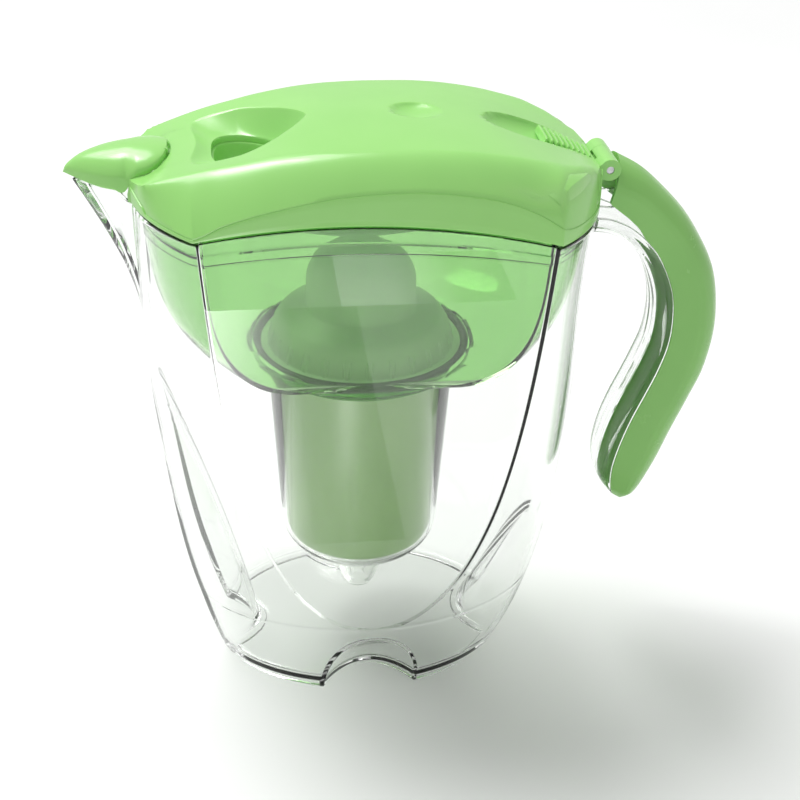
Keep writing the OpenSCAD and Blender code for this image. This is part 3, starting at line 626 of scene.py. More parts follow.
def u_section(outer, inner, r=0.22):
    """Outer and inner half chains of a U (from the middle outwards) -> closed rounded polygon in (y, v) with v scaled to mm for rounding."""
    K = 30.0
    full_o = [(-y, v) for y, v in outer[::-1]] + outer[1:]
    full_i = [(-y, v) for y, v in inner[::-1]] + inner[1:]
    poly = [(y, v * K) for y, v in full_o] + [(y, v * K) for y, v in full_i[::-1]]
    return [(y, v / K) for y, v in rounded(poly, r, 3)]


def dense(chain, n):
    """Smooth resampling of a half chain, its first point on the middle line."""
    P = np.array(chain, float)
    k = len(chain) - 1
    return [tuple(catmull(P, s)) for s in np.linspace(0, k, n)]


H = 12.5
CT = 2.2


def width_at(s):
    return 1.0 if s < 14 else lerp(1.0, 0.93, smooth(s - 14)) if s < 15 else lerp(0.93, 0.72, (s - 15) ** 1.4)


def core_top(s):
    return table_at([0.61, 0.61, 0.56, 0.45] + [0.3] * 14, s)


def core_section(s):
    ct = core_top(s)
    o = dense([(0, 1), (6, 0.98), (9.8, 0.92), (11.9, 0.825), (H - 0.2, 0.748)], 18)
    o += [(H - 0.35, 0.742), (H - 2.35, 0.742)] if s >= 3.0 else [(H - 0.35, 0.74), (H - 2.35, 0.738)]
    o += [(H - 2.4, ct)]
    i = dense([(0, 0.914), (5, 0.9), (7.2, 0.847), (7.7, 0.797), (7.75, 0.765)], 16) + [(7.8, 0.742), (7.8, ct)]
    return u_section(o, i, 0.35)


def cover_section_at(sbot):
    oc = dense([(0, 0), (5, 0.035), (9, 0.115), (H - 0.9, 0.235), (H - 0.1, 0.34)], 20) + [(H, 0.37), (H, sbot)]
    ic = dense([(0, 0.075), (4.3, 0.108), (7.6, 0.18), (H - CT - 0.75, 0.275), (H - CT - 0.1, 0.355)], 16) + [(H - CT, 0.385), (H - CT, sbot)]
    return u_section(oc, ic, 0.35)


COVER_S = [[[102.6, 228.6], [94.9, 196]]] + ST[3:]


def cover_section(s):
    # s runs on COVER_S: 0 is the root, 1 is ST[3]
    return cover_section_at(table_at([0.52, 0.66] + [0.735] * 16, s))


# ------------------------------------------------------------------ hopper
T_HOP, D_HOP, SEAT = 1.8, 66.0, 148.5


def hs(d, n):
    return max(0.0, 1 - (d / D_HOP) ** n) ** (1 / n)


def hop_half(d, o, lift):
    z = RIM0
    a, b, p = ja(z) - WALL - 0.6 - o, jb(z) - WALL - 0.6 - o, PANEL - WALL * 0.93 - 0.55 - o
    wfe = a * math.sqrt(1 - (p / b) ** 2)
    t1 = math.acos(wfe / a)
    sx = 1 if d < 0 else hs(d, 3.6) * (1 - 0.0007 * d)
    sy = 1 if d < 0 else hs(d, 14)
    pts = [(-a * math.cos(t), -b * math.sin(t)) for t in spread(0, t1, 40, "last")[:-1]]
    pts += [(x, -p) for x in spread(-wfe, wfe, 44)[:-1]]
    pts += [(-a * math.cos(t), -b * math.sin(t)) for t in spread(math.pi - t1, math.pi, 40, "first")]
    out = []
    for px, py in pts:
        x, y = CX + px * sx, py * sy
        if d > 45:
            f = max(1.0, (47.5 - o) / max(0.01, math.hypot(x, y)))
            x, y = x * f, y * f
        zr = rim_z(max(-87, CX + px), py * 1.08)
        k = clamp(1 - d / 30, 0, 1)
        out.append((x, y, RIM0 - d + (zr - RIM0) * k + lift))
    return out


def hop_row(d, o, lift=0.0, soften=4):
    ring = mirror_rows(hop_half(d, o, lift))
    p = relax(ring, soften)
    for i in range(len(p)):
        p[i, 2] = ring[i][2]
    return [tuple(v) for v in p]


def hole_row(r, z):
    src = mirror_rows(hop_half(D_HOP - 4, 0, 0))
    return [(r * math.cos(math.atan2(q[1], q[0])), r * math.sin(math.atan2(q[1], q[0])), z) for q in src]


def flange_row(d, o, o2=None):
    """Edge of the rim flange, drawn back where the jug's rim climbs at the spout."""
    w, n = hop_row(d, o), hop_row(d, max(o, -0.9) if o2 is None else o2)
    out = []
    for a, b in zip(w, n):
        k = smooth((-78 - a[0]) / 7)
        out.append(tuple(lerp(a[t], b[t], k) for t in range(3)))
    return out


def between(a, b, steps):
    return [[tuple(lerp(p[t], q[t], s) for t in range(3)) for p, q in zip(a, b)] for s in steps]


def bead(d):
    """The raised band under the hopper's rim."""
    return -0.55 * (smooth((d - 5.2) / 0.5) - smooth((d - 8.8) / 0.5))


def hopper():
    t = T_HOP
    ds = [0.8, 2, 3.5, 4.8, 5.2, 5.45, 5.7, 7, 8.8, 9.05, 9.3, 10.5, 13, 16, 20, 24, 28, 32, 36, 40, 44, 47, 50, 52.5, 55, 57, 59, 60.5, 62, 63, 64, 64.8, 65.4]
    outer = [hop_row(d, 0.55 + bead(d), -0.25) for d in ds]
    inner = [hop_row(d, t + 0.55 + bead(d) * (1 if d < 12 else 0), clamp((d - 40) / 25, 0, 1) * t - 0.1) for d in [65.1, 64.4, 63.6, 62.4, 61, 59, 57, 54, 51, 48, 44, 40, 36, 32, 28, 24, 20, 16, 13, 10.5, 9.3, 9.05, 8.8, 7, 5.7, 5.45, 5.2, 4.8, 3.5, 2, 0.8, 0.0, -0.6]]
    rows = [flange_row(-0.9, -2.1), flange_row(-0.85, -2.33), flange_row(-0.62, -2.4), flange_row(-0.38, -2.33), flange_row(-0.27, -2.1), hop_row(-0.25, -0.2), hop_row(-0.05, 0.35)]
    rows += outer
    rows += [hole_row(46.2, SEAT - 1.9), hole_row(45.2, SEAT - 1.9), hole_row(43, SEAT - 1.9), hole_row(41.3, SEAT - 1.9), hole_row(41, SEAT - 1.6), hole_row(41, SEAT - 0.3), hole_row(41.3, SEAT), hole_row(43, SEAT), hole_row(44.6, SEAT)]
    rows += inner + [hop_row(-0.9, t + 0.72), hop_row(-0.9, t + 0.4)]
    return loft(rows, loop=True)


# ------------------------------------------------------------------ lid
MZ = pchip([[-92, 226.2], [-86, 228.8], [-82, 230], [-78, 232], [-74, 234.4], [-66, 236], [-60, 237.1], [-50, 239.6], [-42, 241.8], [-36, 243.6], [-30, 245.3], [-22, 247.1], [-14, 248], [-5, 248.46], [5, 248.53], [14, 248.38], [22, 248], [30, 247.3], [40, 246], [48, 244.6], [56, 242.5], [64, 239.9], [72, 237.2], [80, 234], [86, 231.2], [92, 228.6], [99, 226.5]])
YC = pchip([[-92, 18], [-87, 26.5], [-82, 30], [-76, 31.2], [-69, 32.4], [-60, 33.8], [-50, 35.2], [-41, 36.5], [-31, 37.4], [-20, 37.9], [5, 38.4], [30, 38.5], [52, 38], [69, 35.6], [80, 30], [89, 22], [96, 12]])
ZC = pchip([[-92, 226.4], [-87, 229.8], [-82, 232.2], [-76, 234.2], [-69, 236.3], [-60, 238.8], [-50, 241], [-41, 242.9], [-31, 244.6], [-21, 245.8], [-10, 246.5], [5, 246.9], [20, 246.8], [32, 246.1], [42, 244.9], [52, 243.2], [60, 241.4], [69, 239], [76, 236.6], [80, 235.2], [89, 230.8], [96, 227]])
ZE = pchip([[-92, 223.8], [-87, 221.4], [-82, 221], [-75, 220.6], [-66, 220], [-62, 221.2], [-56, 224.3], [-49, 226.7], [-41, 228.9], [-33, 230.7], [-25, 232.4], [-17, 233.9], [-10, 234.8], [5, 235.7], [15, 235.8], [22, 235.3], [29, 234.6], [37, 233.4], [45, 231.8], [52, 229.6], [58, 226.9], [63, 223.4], [67, 219.6], [71, 216.4], [76, 214.9], [84, 214.2], [96, 213.7]])
LID_T, LID_GAP = 2.2, 1.3
FX, FZ = -75.6, 234.4


def wy(x):
    return min(PANEL + 0.2, (jb(RIM0) + 0.8) * math.sqrt(max(0.01, 1 - ((x - CX) / (ja(RIM0) + 0.8)) ** 2)))


def dome(x, y):
    """Lid surface before its hollows: centre line, crest line and shoulder."""
    w = wy(x)
    yc = min(YC(x), 0.97 * w)
    m, zc, e, v = MZ(x), ZC(x), ZE(x), abs(y)
    if v < yc:
        z = m + (zc - m) * (v / yc) ** 2
    else:
        u = clamp((v - yc) / max(1.0, w - yc), 0, 1)
        k, r = 0.4 * smooth((-8 - x) / 30), smooth((x - 56) / 16)
        z = zc - (zc - e) * (k * u + (1 - k) * ((1 - r) * u ** 1.75 + r * (1 - math.sqrt(1 - u * u * 0.98))))
    # fine line along the crest, fading out over the scoop
    line = smooth((x + 86) / 6) * smooth((-14 - x) / 22)
    if line > 0:
        z -= 0.22 * line * math.exp(-((v - yc) / 0.8) ** 2)
    return z


def top_z(x, y):
    z = dome(x, y)
    q = 1 - ((x - 20.5) / 9.5) ** 2 - (y / 8.6) ** 2
    if q > 0:
        z -= 2.7 * q ** 0.62 * (1 - 0.45 * smooth((x - 17) / 12))
    sx = (x - 63) / (15.5 if x < 63 else 25.0)
    q = 1 - sx ** 2 - (y / 11.2) ** 2
    if q > 0:
        z -= 5.2 * q ** 0.55 * (1 - 0.75 * smooth((x - 66) / 18))
    return z


LC = (-48.0, 0.0)
LT, LE_, LP, LB, LN = 14, 48, 84, 40, 34


def nose_arc(d, n):
    out = []
    for i in range(n + 1):
        t = math.radians(90 * (1 - i / n))
        out.append((-86.5 + (13 - d) * abs(math.cos(t)) ** 0.83, -(16.8 - d) * abs(math.sin(t)) ** 0.83, math.degrees(t)))
    return out


def lid_half():
    """Outline of the lid from the tail round to the nose, with the direction each column leaves the scoop in."""
    a, b, p = ja(RIM0) + 0.8, jb(RIM0) + 0.8, PANEL + 0.2
    wfe = a * math.sqrt(1 - (p / b) ** 2)
    t1, tb, tt = math.acos(wfe / a), math.asin(15.6 / b), math.asin(12.9 / b)
    pts = [(92.0, -12.2 * i / (LT - 1)) for i in range(LT)]
    pts += [(CX + a * math.cos(t), -b * math.sin(t)) for t in spread(tt, t1, LE_)[:-1]]
    pts += [(CX + x, -p) for x in spread(wfe, -wfe, LP)[:-1]]
    way = list(pts)
    bulge = [0.0] * len(pts)
    side = [(CX - a * math.cos(t), -b * math.sin(t)) for t in spread(t1, tb, LB)[:-1]]
    s0, s1 = abs(side[0][1] / (side[0][0] - LC[0])), abs(side[-1][1] / (side[-1][0] - LC[0]))
    for q in side:
        k = abs(q[1] / (q[0] - LC[0]))
        pts.append(q)
        way.append((LC[0] - 30, -30 * (0.96 + (k - s1) * (s0 - 0.96) / (s0 - s1))))
        bulge.append(0.0)
    corner = [(-89.95, -15.2), (-89.6, -15.65), (-89.0, -16.1), (-88.3, -16.4), (-87.4, -16.68)]
    for i, q in enumerate(corner):
        pts.append(q)
        way.append((LC[0] - 30, -30 * (0.958 - 0.0015 * i)))
        bulge.append(11.0 - 2.0 * i)
    for x, y, t in nose_arc(0, LN):
        pts.append((x, y))
        way.append((LC[0] - 30, -30 * 0.95 * abs(math.sin(math.radians(t))) ** 0.8 if t > 0.01 else 0.0))
        bulge.append(1.5 * smooth((t - 70) / 20))
    return pts, way, bulge


LH, LD, BULGE = lid_half()
N_TAIL = LT
NOSE0 = LT + LE_ + LP + LB


def pol(q, axp, axn, ay, pp, pn):
    dx, dy = q[0] - LC[0], q[1]
    l = math.hypot(dx, dy)
    c, s = dx / l, abs(dy) / l
    ax, p = (axp, pp) if c > 0 else (axn, pn)
    r = 1 / ((abs(c) / ax) ** p + (s / ay) ** p) ** (1 / p)
    hollow = 4.2 * max(0.0, 1 - (r * s / 22) ** 2) * math.sqrt(-c) if c < 0 and axn > 15 else 0.0
    return (LC[0] + r * c + hollow, r * dy / l)


SCOOP = [pol(q, 26.5, 20, 25.3, 1.35, 4.5) for q in LD]
HOLE = [pol(q, 18, 10, 15, 1.6, 3) for q in LD]
HOLE_Z = 233.5


def spot(i, k):
    """Plan point k of the way from the scoop's crest to the lid's outline on column i."""
    s_, q = SCOOP[i], LH[i]
    return (lerp(s_[0], q[0], k), lerp(s_[1], q[1], k) - BULGE[i] * k * k * (1 - k) * 1.2)


def low_z(q, i):
    return top_z(q[0], q[1]) - 3 if i < N_TAIL else rim_z(max(q[0], -87), q[1]) + LID_GAP


def inset(i, d):
    q = LH[i]
    j = i - NOSE0
    if 0 <= j < 5:
        v = (-84 - q[0], -22.5 - q[1])
        l = math.hypot(*v)
        return (q[0] + v[0] / l * d * 0.2, q[1] + v[1] / l * d * 0.2)
    if j >= 5:
        v = (q[0] + 86.5, q[1])
        l = math.hypot(*v)
        e = lerp(0.3, 0.85, smooth((j - 5) / 9))
        return (q[0] + v[0] / l * d * e, q[1] + v[1] / l * d * e)
    if abs(q[1]) > PANEL - 0.5:
        return (q[0] * (1 - d / 200), q[1] + (d if q[1] < 0 else -d))
    e = lerp(0.3, 1.0, smooth(-j / 10))
    v = (q[0] - LC[0], q[1])
    l = math.hypot(*v)
    return (q[0] - v[0] / l * d * (1 if abs(v[1]) < 2 else 1.15) * e, q[1] - v[1] / l * d * 1.15 * e)


def lid_rows():
    n = len(LH)
    idx = range(n)
    rows = []

    def scoop_z(i, u, under=0.0):
        e = SCOOP[i]
        return HOLE_Z + (top_z(*e) - HOLE_Z) * u ** 1.3 - under

    def on(row, dz=0.0):
        return [(q[0], q[1], top_z(q[0], q[1]) + dz) for q in row]

    # hole edge, scoop, crest of the scoop, top, outer edge, facet, lower edge, underside
    us = [0.0, 0.03, 0.08, 0.16, 0.26, 0.38, 0.5, 0.62, 0.74, 0.85, 0.93, 0.975]
    for u in us:
        rows.append([(lerp(HOLE[i][0], SCOOP[i][0], u), lerp(HOLE[i][1], SCOOP[i][1], u), scoop_z(i, u)) for i in idx])
    rows[0] = [(p[0], p[1], p[2] - 0.5) for p in rows[0]]
    for k in [0.0, 0.012, 0.03] + list(np.linspace(0.06, 0.94, 76)) + [0.965, 0.985]:
        rows.append(on([spot(i, k) for i in idx], -0.12 if k == 0 else 0.0))
    e1 = [inset(i, 0.45) for i in idx]
    e2 = [inset(i, 0.12) for i in idx]
    rows.append([(q[0], q[1], top_z(*LH[i]) - 0.02) for i, q in enumerate(e1)])
    rows.append([(q[0], q[1], top_z(*LH[i]) - 0.14) for i, q in enumerate(e2)])
    for f in (0.0, 0.25, 0.5, 0.75, 1.0):
        rows.append([(LH[i][0], LH[i][1], lerp(top_z(*LH[i]) - 0.5, low_z(LH[i], i) + 0.3, f)) for i in idx])
    rows.append([(e2[i][0], e2[i][1], low_z(LH[i], i) + 0.06) for i in idx])
    rows.append([(e1[i][0], e1[i][1], low_z(LH[i], i)) for i in idx])
    ei = [inset(i, LID_T) for i in idx]

    def roof(i):
        return max(low_z(LH[i], i) + (0.0 if i < N_TAIL else 0.35), top_z(*LH[i]) - LID_T)

    rows.append([(ei[i][0], ei[i][1], low_z(LH[i], i)) for i in idx])
    rows.append([(ei[i][0], ei[i][1], lerp(low_z(LH[i], i), roof(i), 0.6)) for i in idx])
    for k in list(np.linspace(1.0, 0.0, 30)):
        row = []
        for i in idx:
            q = spot(i, k)
            if k > 0.999:
                row.append((ei[i][0], ei[i][1], roof(i)))
                continue
            w = smooth((k - 0.8) / 0.2)
            qi = (lerp(q[0], ei[i][0], w), lerp(q[1], ei[i][1], w))
            row.append((qi[0], qi[1], max(low_z(LH[i], i) + 0.35 if i >= N_TAIL else 0.0, top_z(*q) - LID_T - 0.3)))
        rows.append(row)
    for u in (0.85, 0.7, 0.5, 0.3, 0.12, 0.0):
        rows.append([(lerp(HOLE[i][0], SCOOP[i][0], u), lerp(HOLE[i][1], SCOOP[i][1], u), scoop_z(i, u, LID_T + 0.2)) for i in idx])
    return [mirror_rows(r) for r in rows]


def rib(x, half, z, tilt=22.0, thick=1.25, tall=3.1):
    """One thumb rib: a rounded bar across Y."""
    rows = []
    n = 22
    for i in range(n + 1):
        u = -1 + 2 * i / n
        y = half * math.sin(u * math.pi / 2)
        e = math.sqrt(max(0.0, 1 - abs(u) ** 7))
        e = max(e, 0.04)
        th, h = thick / 2 * (0.45 + 0.55 * e), tall / 2 * e
        sec = []
        for j in range(20):
            t = 2 * math.pi * j / 20
            cxs, czs = math.cos(t), math.sin(t)
            px = th * math.copysign(abs(cxs) ** 0.6, cxs)
            pz = h * math.copysign(abs(czs) ** 0.7, czs) - (tall / 2 - h) * 0.6
            sec.append((px, pz))
        ct, st = math.cos(math.radians(tilt)), math.sin(math.radians(tilt))
        rows.append([(x + px * ct + pz * st, y, z - px * st + pz * ct) for px, pz in sec])
    return loft(rows)


def lid():
    parts = [loft(lid_rows(), loop=True)]
    for i in range(9):
        x = 71 + i * (20.5 / 9)
        parts.append(rib(x, (16 - i * 0.35) / 2, MZ(x) - 1.0, tall=3.8))
    return join(*parts)


def fill_funnel():
    def fr(k, z):
        return mirror_rows([(*pol(q, 18 + k, 10 + k, 15 + k, 1.6, 3), z) for q in LD])

    rows = [fr(0.4, HOLE_Z - 2.3), fr(1.2, HOLE_Z - 2.35), fr(2.0, HOLE_Z - 2.6), fr(1.6, HOLE_Z - 5.5), fr(0.9, HOLE_Z - 9.5), fr(0.3, HOLE_Z - 12.7), fr(0.0, HOLE_Z - 13),
            fr(-1.1, HOLE_Z - 13), fr(-1.3, HOLE_Z - 12.7), fr(-1.2, HOLE_Z - 8), fr(-1.0, HOLE_Z - 3.2), fr(-0.7, HOLE_Z - 2.6)]
    return loft(rows, loop=True)


# ------------------------------------------------------------------ spout cover
CS = pchip([[-114.6, 226], [-113.4, 228.6], [-111.3, 230.6], [-107.3, 233.1], [-101.6, 235.1], [-95.8, 236.4], [-88, 237.4], [-82, 237.5], [-77, 237.1], [-73, 236.6]])


def cov_half():
    pts = [(x, y) for x, y, t in nose_arc(1, 40)][::-1]
    pts += [(-87.6, -15.75), (-88.7, -15.5), (-89.7, -15.2), (-90.6, -14.95)]
    for u in spread(0, 1, 46, "last"):
        pts.append((-91.4 - 23.1 * u, -(14.2 * (1 - u ** 1.6) + 0.5 * math.sqrt(max(0.0, 1 - u)))))
    return pts


def cov_w(x):
    if x < -91.4:
        return 14.4 * (1 - clamp((-91.4 - x) / 23.1, 0, 1) ** 1.6) + 0.9
    if x < -86.5:
        return 15.3 + 0.5 * smooth((x + 91.4) / 4.9)
    return 15.8 * max(0.0004, 1 - clamp((x + 86.5) / 12, 0, 1) ** 2.41) ** 0.415


def cov_edge(x, y):
    if x < -91.4:
        return 225.3 + 1.6 * clamp((x + 114.5) / 23.1, 0, 1)
    return 226.9 + (dome(x, y) + 1.7 - 226.9) * smooth((x + 91.4) / 6)


def cov_top(x, y):
    w, e = max(0.4, cov_w(x)), cov_edge(x, y)
    t = min(1.0, abs(y) / w)
    return e + (max(e, CS(x)) - e) * max(0.0, 1 - t ** 2.3) ** 0.62


def cov_low(x, y):
    k = smooth((x + 91.4) / 3)
    return lerp(max(222.9, rim_z(x, y) + 0.9) + 1.3 * clamp((-100 - x) / 14, 0, 1), cov_top(x, y) - 2, k)


def spout_cover():
    C, Hc = (-92.0, 0.0), cov_half()

    def sc(k):
        return [(C[0] + (q[0] - C[0]) * k, q[1] * k) for q in Hc]

    rows = [[(q[0], q[1], cov_top(*q)) for q in sc(k)] for k in [0.05, 0.12, 0.2, 0.28, 0.36, 0.44, 0.52, 0.6, 0.67, 0.74, 0.8, 0.85, 0.89, 0.925, 0.95, 0.97, 0.985]]
    rows.append([(q[0], q[1], cov_top(*sc(1)[i]) - 0.05) for i, q in enumerate(sc(0.995))])
    rim = [cov_top(*q) for q in sc(1)]
    for f in (0.1, 0.4, 0.7, 0.93):
        rows.append([(q[0], q[1], lerp(rim[i], cov_low(*q), f)) for i, q in enumerate(sc(1))])
    rows.append([(q[0], q[1], cov_low(*sc(1)[i])) for i, q in enumerate(sc(0.985))])
    rows.append([(q[0], q[1], cov_low(*q)) for q in sc(0.89)])
    rows += [[(q[0], q[1], max(224.2, cov_top(*q) - 2)) for q in sc(k)] for k in [0.86, 0.8, 0.74, 0.65, 0.55, 0.44, 0.33, 0.22, 0.12]]
    return loft([mirror_rows(r) for r in rows])


def bar(r, y0, y1, seg=40, x=FX, z=FZ, cut=0.0):
    """Round bar along Y, or with cut a bar whose top is squared off into a web."""
    pts = [(x + r * math.cos(2 * math.pi * k / seg), z + r * math.sin(2 * math.pi * k / seg)) for k in range(seg)]
    if cut:
        pts = [(px, max(pz, z) + cut if pz > z - 1e-9 else pz) for px, pz in pts]
    v = [(px, y0, pz) for px, pz in pts] + [(px, y1, pz) for px, pz in pts]
    n = len(pts)
    return v, [(i, (i + 1) % n, n + (i + 1) % n, n + i) for i in range(n)] + [tuple(range(n)), tuple(range(n, 2 * n))]


def block(x0, x1, y0, y1, z0, z1):
    v = [(x, y, z) for x in (x0, x1) for y in (y0, y1) for z in (z0, z1)]
    return v, [(0, 1, 3, 2), (4, 6, 7, 5), (0, 4, 5, 1), (2, 3, 7, 6), (0, 2, 6, 4), (1, 5, 7, 3)]


def carve(ob, tools):
    """Joins or cuts exact solids into a piece, then restores its smooth shading."""
    for kind, (v, f) in tools:
        me = bpy.data.meshes.new("tool")
        me.from_pydata([tuple(c * MM for c in p) for p in v], [], [tuple(q) for q in f])
        bm = bmesh.new()
        bm.from_mesh(me)
        bmesh.ops.recalc_face_normals(bm, faces=bm.faces)
        bm.to_mesh(me)
        bm.free()
        tool = bpy.data.objects.new("tool", me)
        bpy.context.scene.collection.objects.link(tool)
        md = ob.modifiers.new("cut", "BOOLEAN")
        md.operation, md.solver, md.object = kind, "EXACT", tool
        new = bpy.data.meshes.new_from_object(ob.evaluated_get(bpy.context.evaluated_depsgraph_get()))
        ob.modifiers.clear()
        old = ob.data
        if len(new.polygons) > 0.8 * len(old.polygons):
            ob.data = new
            bpy.data.meshes.remove(old)
        else:
            bpy.data.meshes.remove(new)
        bpy.data.objects.remove(tool)
        bpy.data.meshes.remove(me)
    ob.data.polygons.foreach_set("use_smooth", [True] * len(ob.data.polygons))
    ob.data.set_sharp_from_angle(angle=math.radians(34))
    ob.data.update()


# ------------------------------------------------------------------ cartridge
CAP_R, SH_LOW, SH_TOP = 38.2, 34.6, 39.6


def shell_r(z):
    return SH_LOW + (SH_TOP - SH_LOW) * (z - 58) / 90


def cap():
    z0 = 149.4
    prof = [(41.6, z0 - 0.4), (41.6, z0 + 0.9), (CAP_R + 0.3, z0 + 1.1), (CAP_R - 1.7, z0 + 9), (CAP_R - 4.6, z0 + 13.6), (26, z0 + 16), (22.9, z0 + 17.4),
            (22.4, z0 + 31.5), (19.4, z0 + 38), (12, z0 + 42), (4, z0 + 43.3), (0.02, z0 + 43.4), (0.02, z0 + 41.4), (4, z0 + 41.3), (11.4, z0 + 40), (18, z0 + 36.6), (20.6, z0 + 31), (21.1, z0 + 16.4), (25, z0 + 14), (CAP_R - 6, z0 + 11.8),
            (CAP_R - 3.6, z0 + 8), (CAP_R - 2, z0 - 0.4)]
    rad = [0.3, 0.3, 0.6, 1.6, 2.2, 1.2, 1.2, 2.6, 2.6, 2.5, 0.01, 0.0, 0.0, 0.01, 2.5, 2.0, 2.0, 1.0, 1.0, 1.6, 1.0, 0.3]
    chain = rounded(prof, rad, 4)
    # finer rows up the ribbed ring
    out = []
    for i, p in enumerate(chain):
        q = chain[(i + 1) % len(chain)]
        out.append(p)
        d = math.hypot(q[0] - p[0], q[1] - p[1])
        for k in range(1, int(d / 1.6) + 1):
            t = k / (int(d / 1.6) + 1)
            out.append((lerp(p[0], q[0], t), lerp(p[1], q[1], t)))

    ribs = 26

    def warp(r, z, t):
        if r < CAP_R - 3.2 or z < z0 + 0.95 or z > z0 + 9.6:
            return r, z
        ph = (t * ribs / (2 * math.pi)) % 1.0
        d = abs(ph - 0.5) * 2
        win = smooth((z - z0 - 0.95) / 0.8) * smooth((z0 + 9.0 - z) / 1.4)
        face = CAP_R + 0.3 - 2.0 * (z - z0 - 1.1) / 7.9
        if r < face - 1.2:
            return r, z
        # narrow raised rib with a shadow groove each side
        bump = smooth((0.2 - d) / 0.08)
        groove = smooth((0.36 - d) / 0.08) * (1 - smooth((0.26 - d) / 0.08))
        return r + win * (0.55 * bump - 0.55 * groove), z

    return revolve(out, 720, warp)


def ring_torus(R, r, z, seg=192, m=28, squash=1.0):
    return revolve([(R + r * math.cos(2 * math.pi * k / m), z + squash * r * math.sin(2 * math.pi * k / m)) for k in range(m)], seg)


def shell():
    t = 1.5
    prof = [(shell_r(148), 148.2), (SH_LOW, 62), (SH_LOW - 0.8, 56.5), (SH_LOW - 4, 52), (SH_LOW - 9, 49.4), (20, 47.4), (15.2, 46.6),
            (15.2, 48.2), (20, 49), (SH_LOW - 9.4, 51), (SH_LOW - 4.8, 53.6), (SH_LOW - 2.2, 57.2), (SH_LOW - t, 62), (shell_r(148) - t, 148.2)]
    return revolve(rounded(prof, [0.4, 3, 3, 3, 3, 2, 0.3, 0.3, 2, 3, 3, 3, 3, 0.4], 5), 192)


def cup():
    t, r = 1.3, 1.9
    prof = [(shell_r(147) - r, 147.6), (SH_LOW - r, 63), (SH_LOW - 3, 57.6), (SH_LOW - 6, 54.4), (20, 51.6), (6, 50.9),
            (6, 52.4), (20, 53.1), (SH_LOW - 6.8, 56), (SH_LOW - 4.2, 58.8), (SH_LOW - r - t, 63.4), (shell_r(147) - r - t, 147.6)]
    return revolve(rounded(prof, [0.3, 3, 3, 3, 3, 0.3, 0.3, 3, 3, 3, 3, 0.3], 5), 192)


def nozzle():
    prof = [(15.1, 46.7), (15.1, 50), (14.2, 50), (13.2, 46), (9.6, 36), (6.2, 27), (4.2, 22.6), (5.6, 21.4), (7.6, 24.6), (11, 34), (14.6, 44.6)]
    return revolve(rounded(prof, 0.8, 4), 144)


# ------------------------------------------------------------------ pieces
jug = make("jug_vessel", *jug_body(), "jug", M_CLEAR, ("jug_body",), "clear_plastic", sharp=28)
core = make("handle_inner", *section_loft(core_section, ST, 0.0, 16.0, 150, width_at), "jug", M_HANDLE, ("handle_core",), "clear_plastic", sharp=30)
cover = make("handle_top", *section_loft(cover_section, COVER_S, 0.0, len(COVER_S) - 1.0, 150, lambda s: width_at(s + 2)), "jug", M_COVER_SHADED, ("handle_cover",), "green_plastic", sharp=30)
hop = make("hopper_bowl", *hopper(), "hopper_group", M_HOPPER, ("hopper",), "green_translucent", sharp=30)
lid_ob = make("lid_dome", *lid(), "lid", M_LID, ("lid_shell",), "green_plastic", sharp=34)
fun = make("fill_neck", *fill_funnel(), "lid", M_LID, ("fill_funnel",), "green_plastic", sharp=30)
cov = make("spout_flap_cover", *spout_cover(), "spout_cover_flap", M_LID, ("spout_cover",), "green_plastic", sharp=34)
carve(cov, [("UNION", bar(1.35, -5.2, -2.6, cut=0.9)), ("UNION", bar(1.35, 2.6, 5.2, cut=0.9)), ("DIFFERENCE", bar(1.6, -2.6, 2.6)),
            ("DIFFERENCE", block(FX - 0.3, FX + 2.3, -2.6, 2.6, FZ - 2.7, FZ + 0.3)), ("DIFFERENCE", bar(0.76, -5.5, 5.5))])
cap_ob = make("cap_milky", *cap(), "cartridge", M_CAP, ("cartridge_cap",), "pale_translucent", sharp=34)
oring = make("seal_ring", *ring_torus(43.3, 1.65, 150.5), "cartridge", M_RING, ("cartridge_o_ring",), "seal_rubber")
shell_ob = make("cartridge_window", *shell(), "cartridge", M_SHELL, ("cartridge_shell",), "clear_plastic", sharp=30)
cup_ob = make("cartridge_liner", *cup(), "cartridge", M_CUP, ("cartridge_cup",), "green_plastic", sharp=30)
noz = make("outlet_cone", *nozzle(), "cartridge", M_SHELL, ("cartridge_nozzle",), "clear_plastic", sharp=30)

for n, m in (("seat_collar", M_HOPPER), ("hinge_bracket", M_LID), ("lid_hinge_pin", M_STEEL), ("lid_hinge_block", M_LID), ("nose_hinge_block", M_LID), ("spout_cover_pin", M_STEEL),
             ("upper_screen", M_SCREEN), ("upper_felt_pad", M_FELT), ("carbon_bed", M_CARBON), ("divider_pad", M_FELT), ("mineral_bed", M_MINERAL), ("lower_felt_pad", M_FELT), ("lower_screen", M_SCREEN)):
    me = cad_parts[n].data
    me.materials.clear()
    me.materials.append(m)

# ------------------------------------------------------------------ stage, lights, camera
sc = bpy.context.scene


def stage_sheet(name, pts, mat):
    me = bpy.data.meshes.new(name)
    me.from_pydata(pts, [], [(0, 1, 2, 3)])
    me.materials.append(mat)
    ob = bpy.data.objects.new(name, me)
    sc.collection.objects.link(ob)
    return ob


kf = Mat("studio_floor")
pf = kf.node("ShaderNodeBsdfPrincipled")
kf.link(kf.mix(kf.remap(kf.noise(2.5, 2), 0, 1), (0.86, 0.865, 0.86), (0.84, 0.845, 0.84)), pf.inputs["Base Color"])
kf.link(kf.remap(kf.noise(6, 3), 0.5, 0.6), pf.inputs["Roughness"])
pf.inputs["Specular IOR Level"].default_value = 0.2
M_FLOOR = kf.done(pf.outputs[0])
stage_sheet("floor", [(-6, -6, -0.0002), (6, -6, -0.0002), (6, 6, -0.0002), (-6, 6, -0.0002)], M_FLOOR)

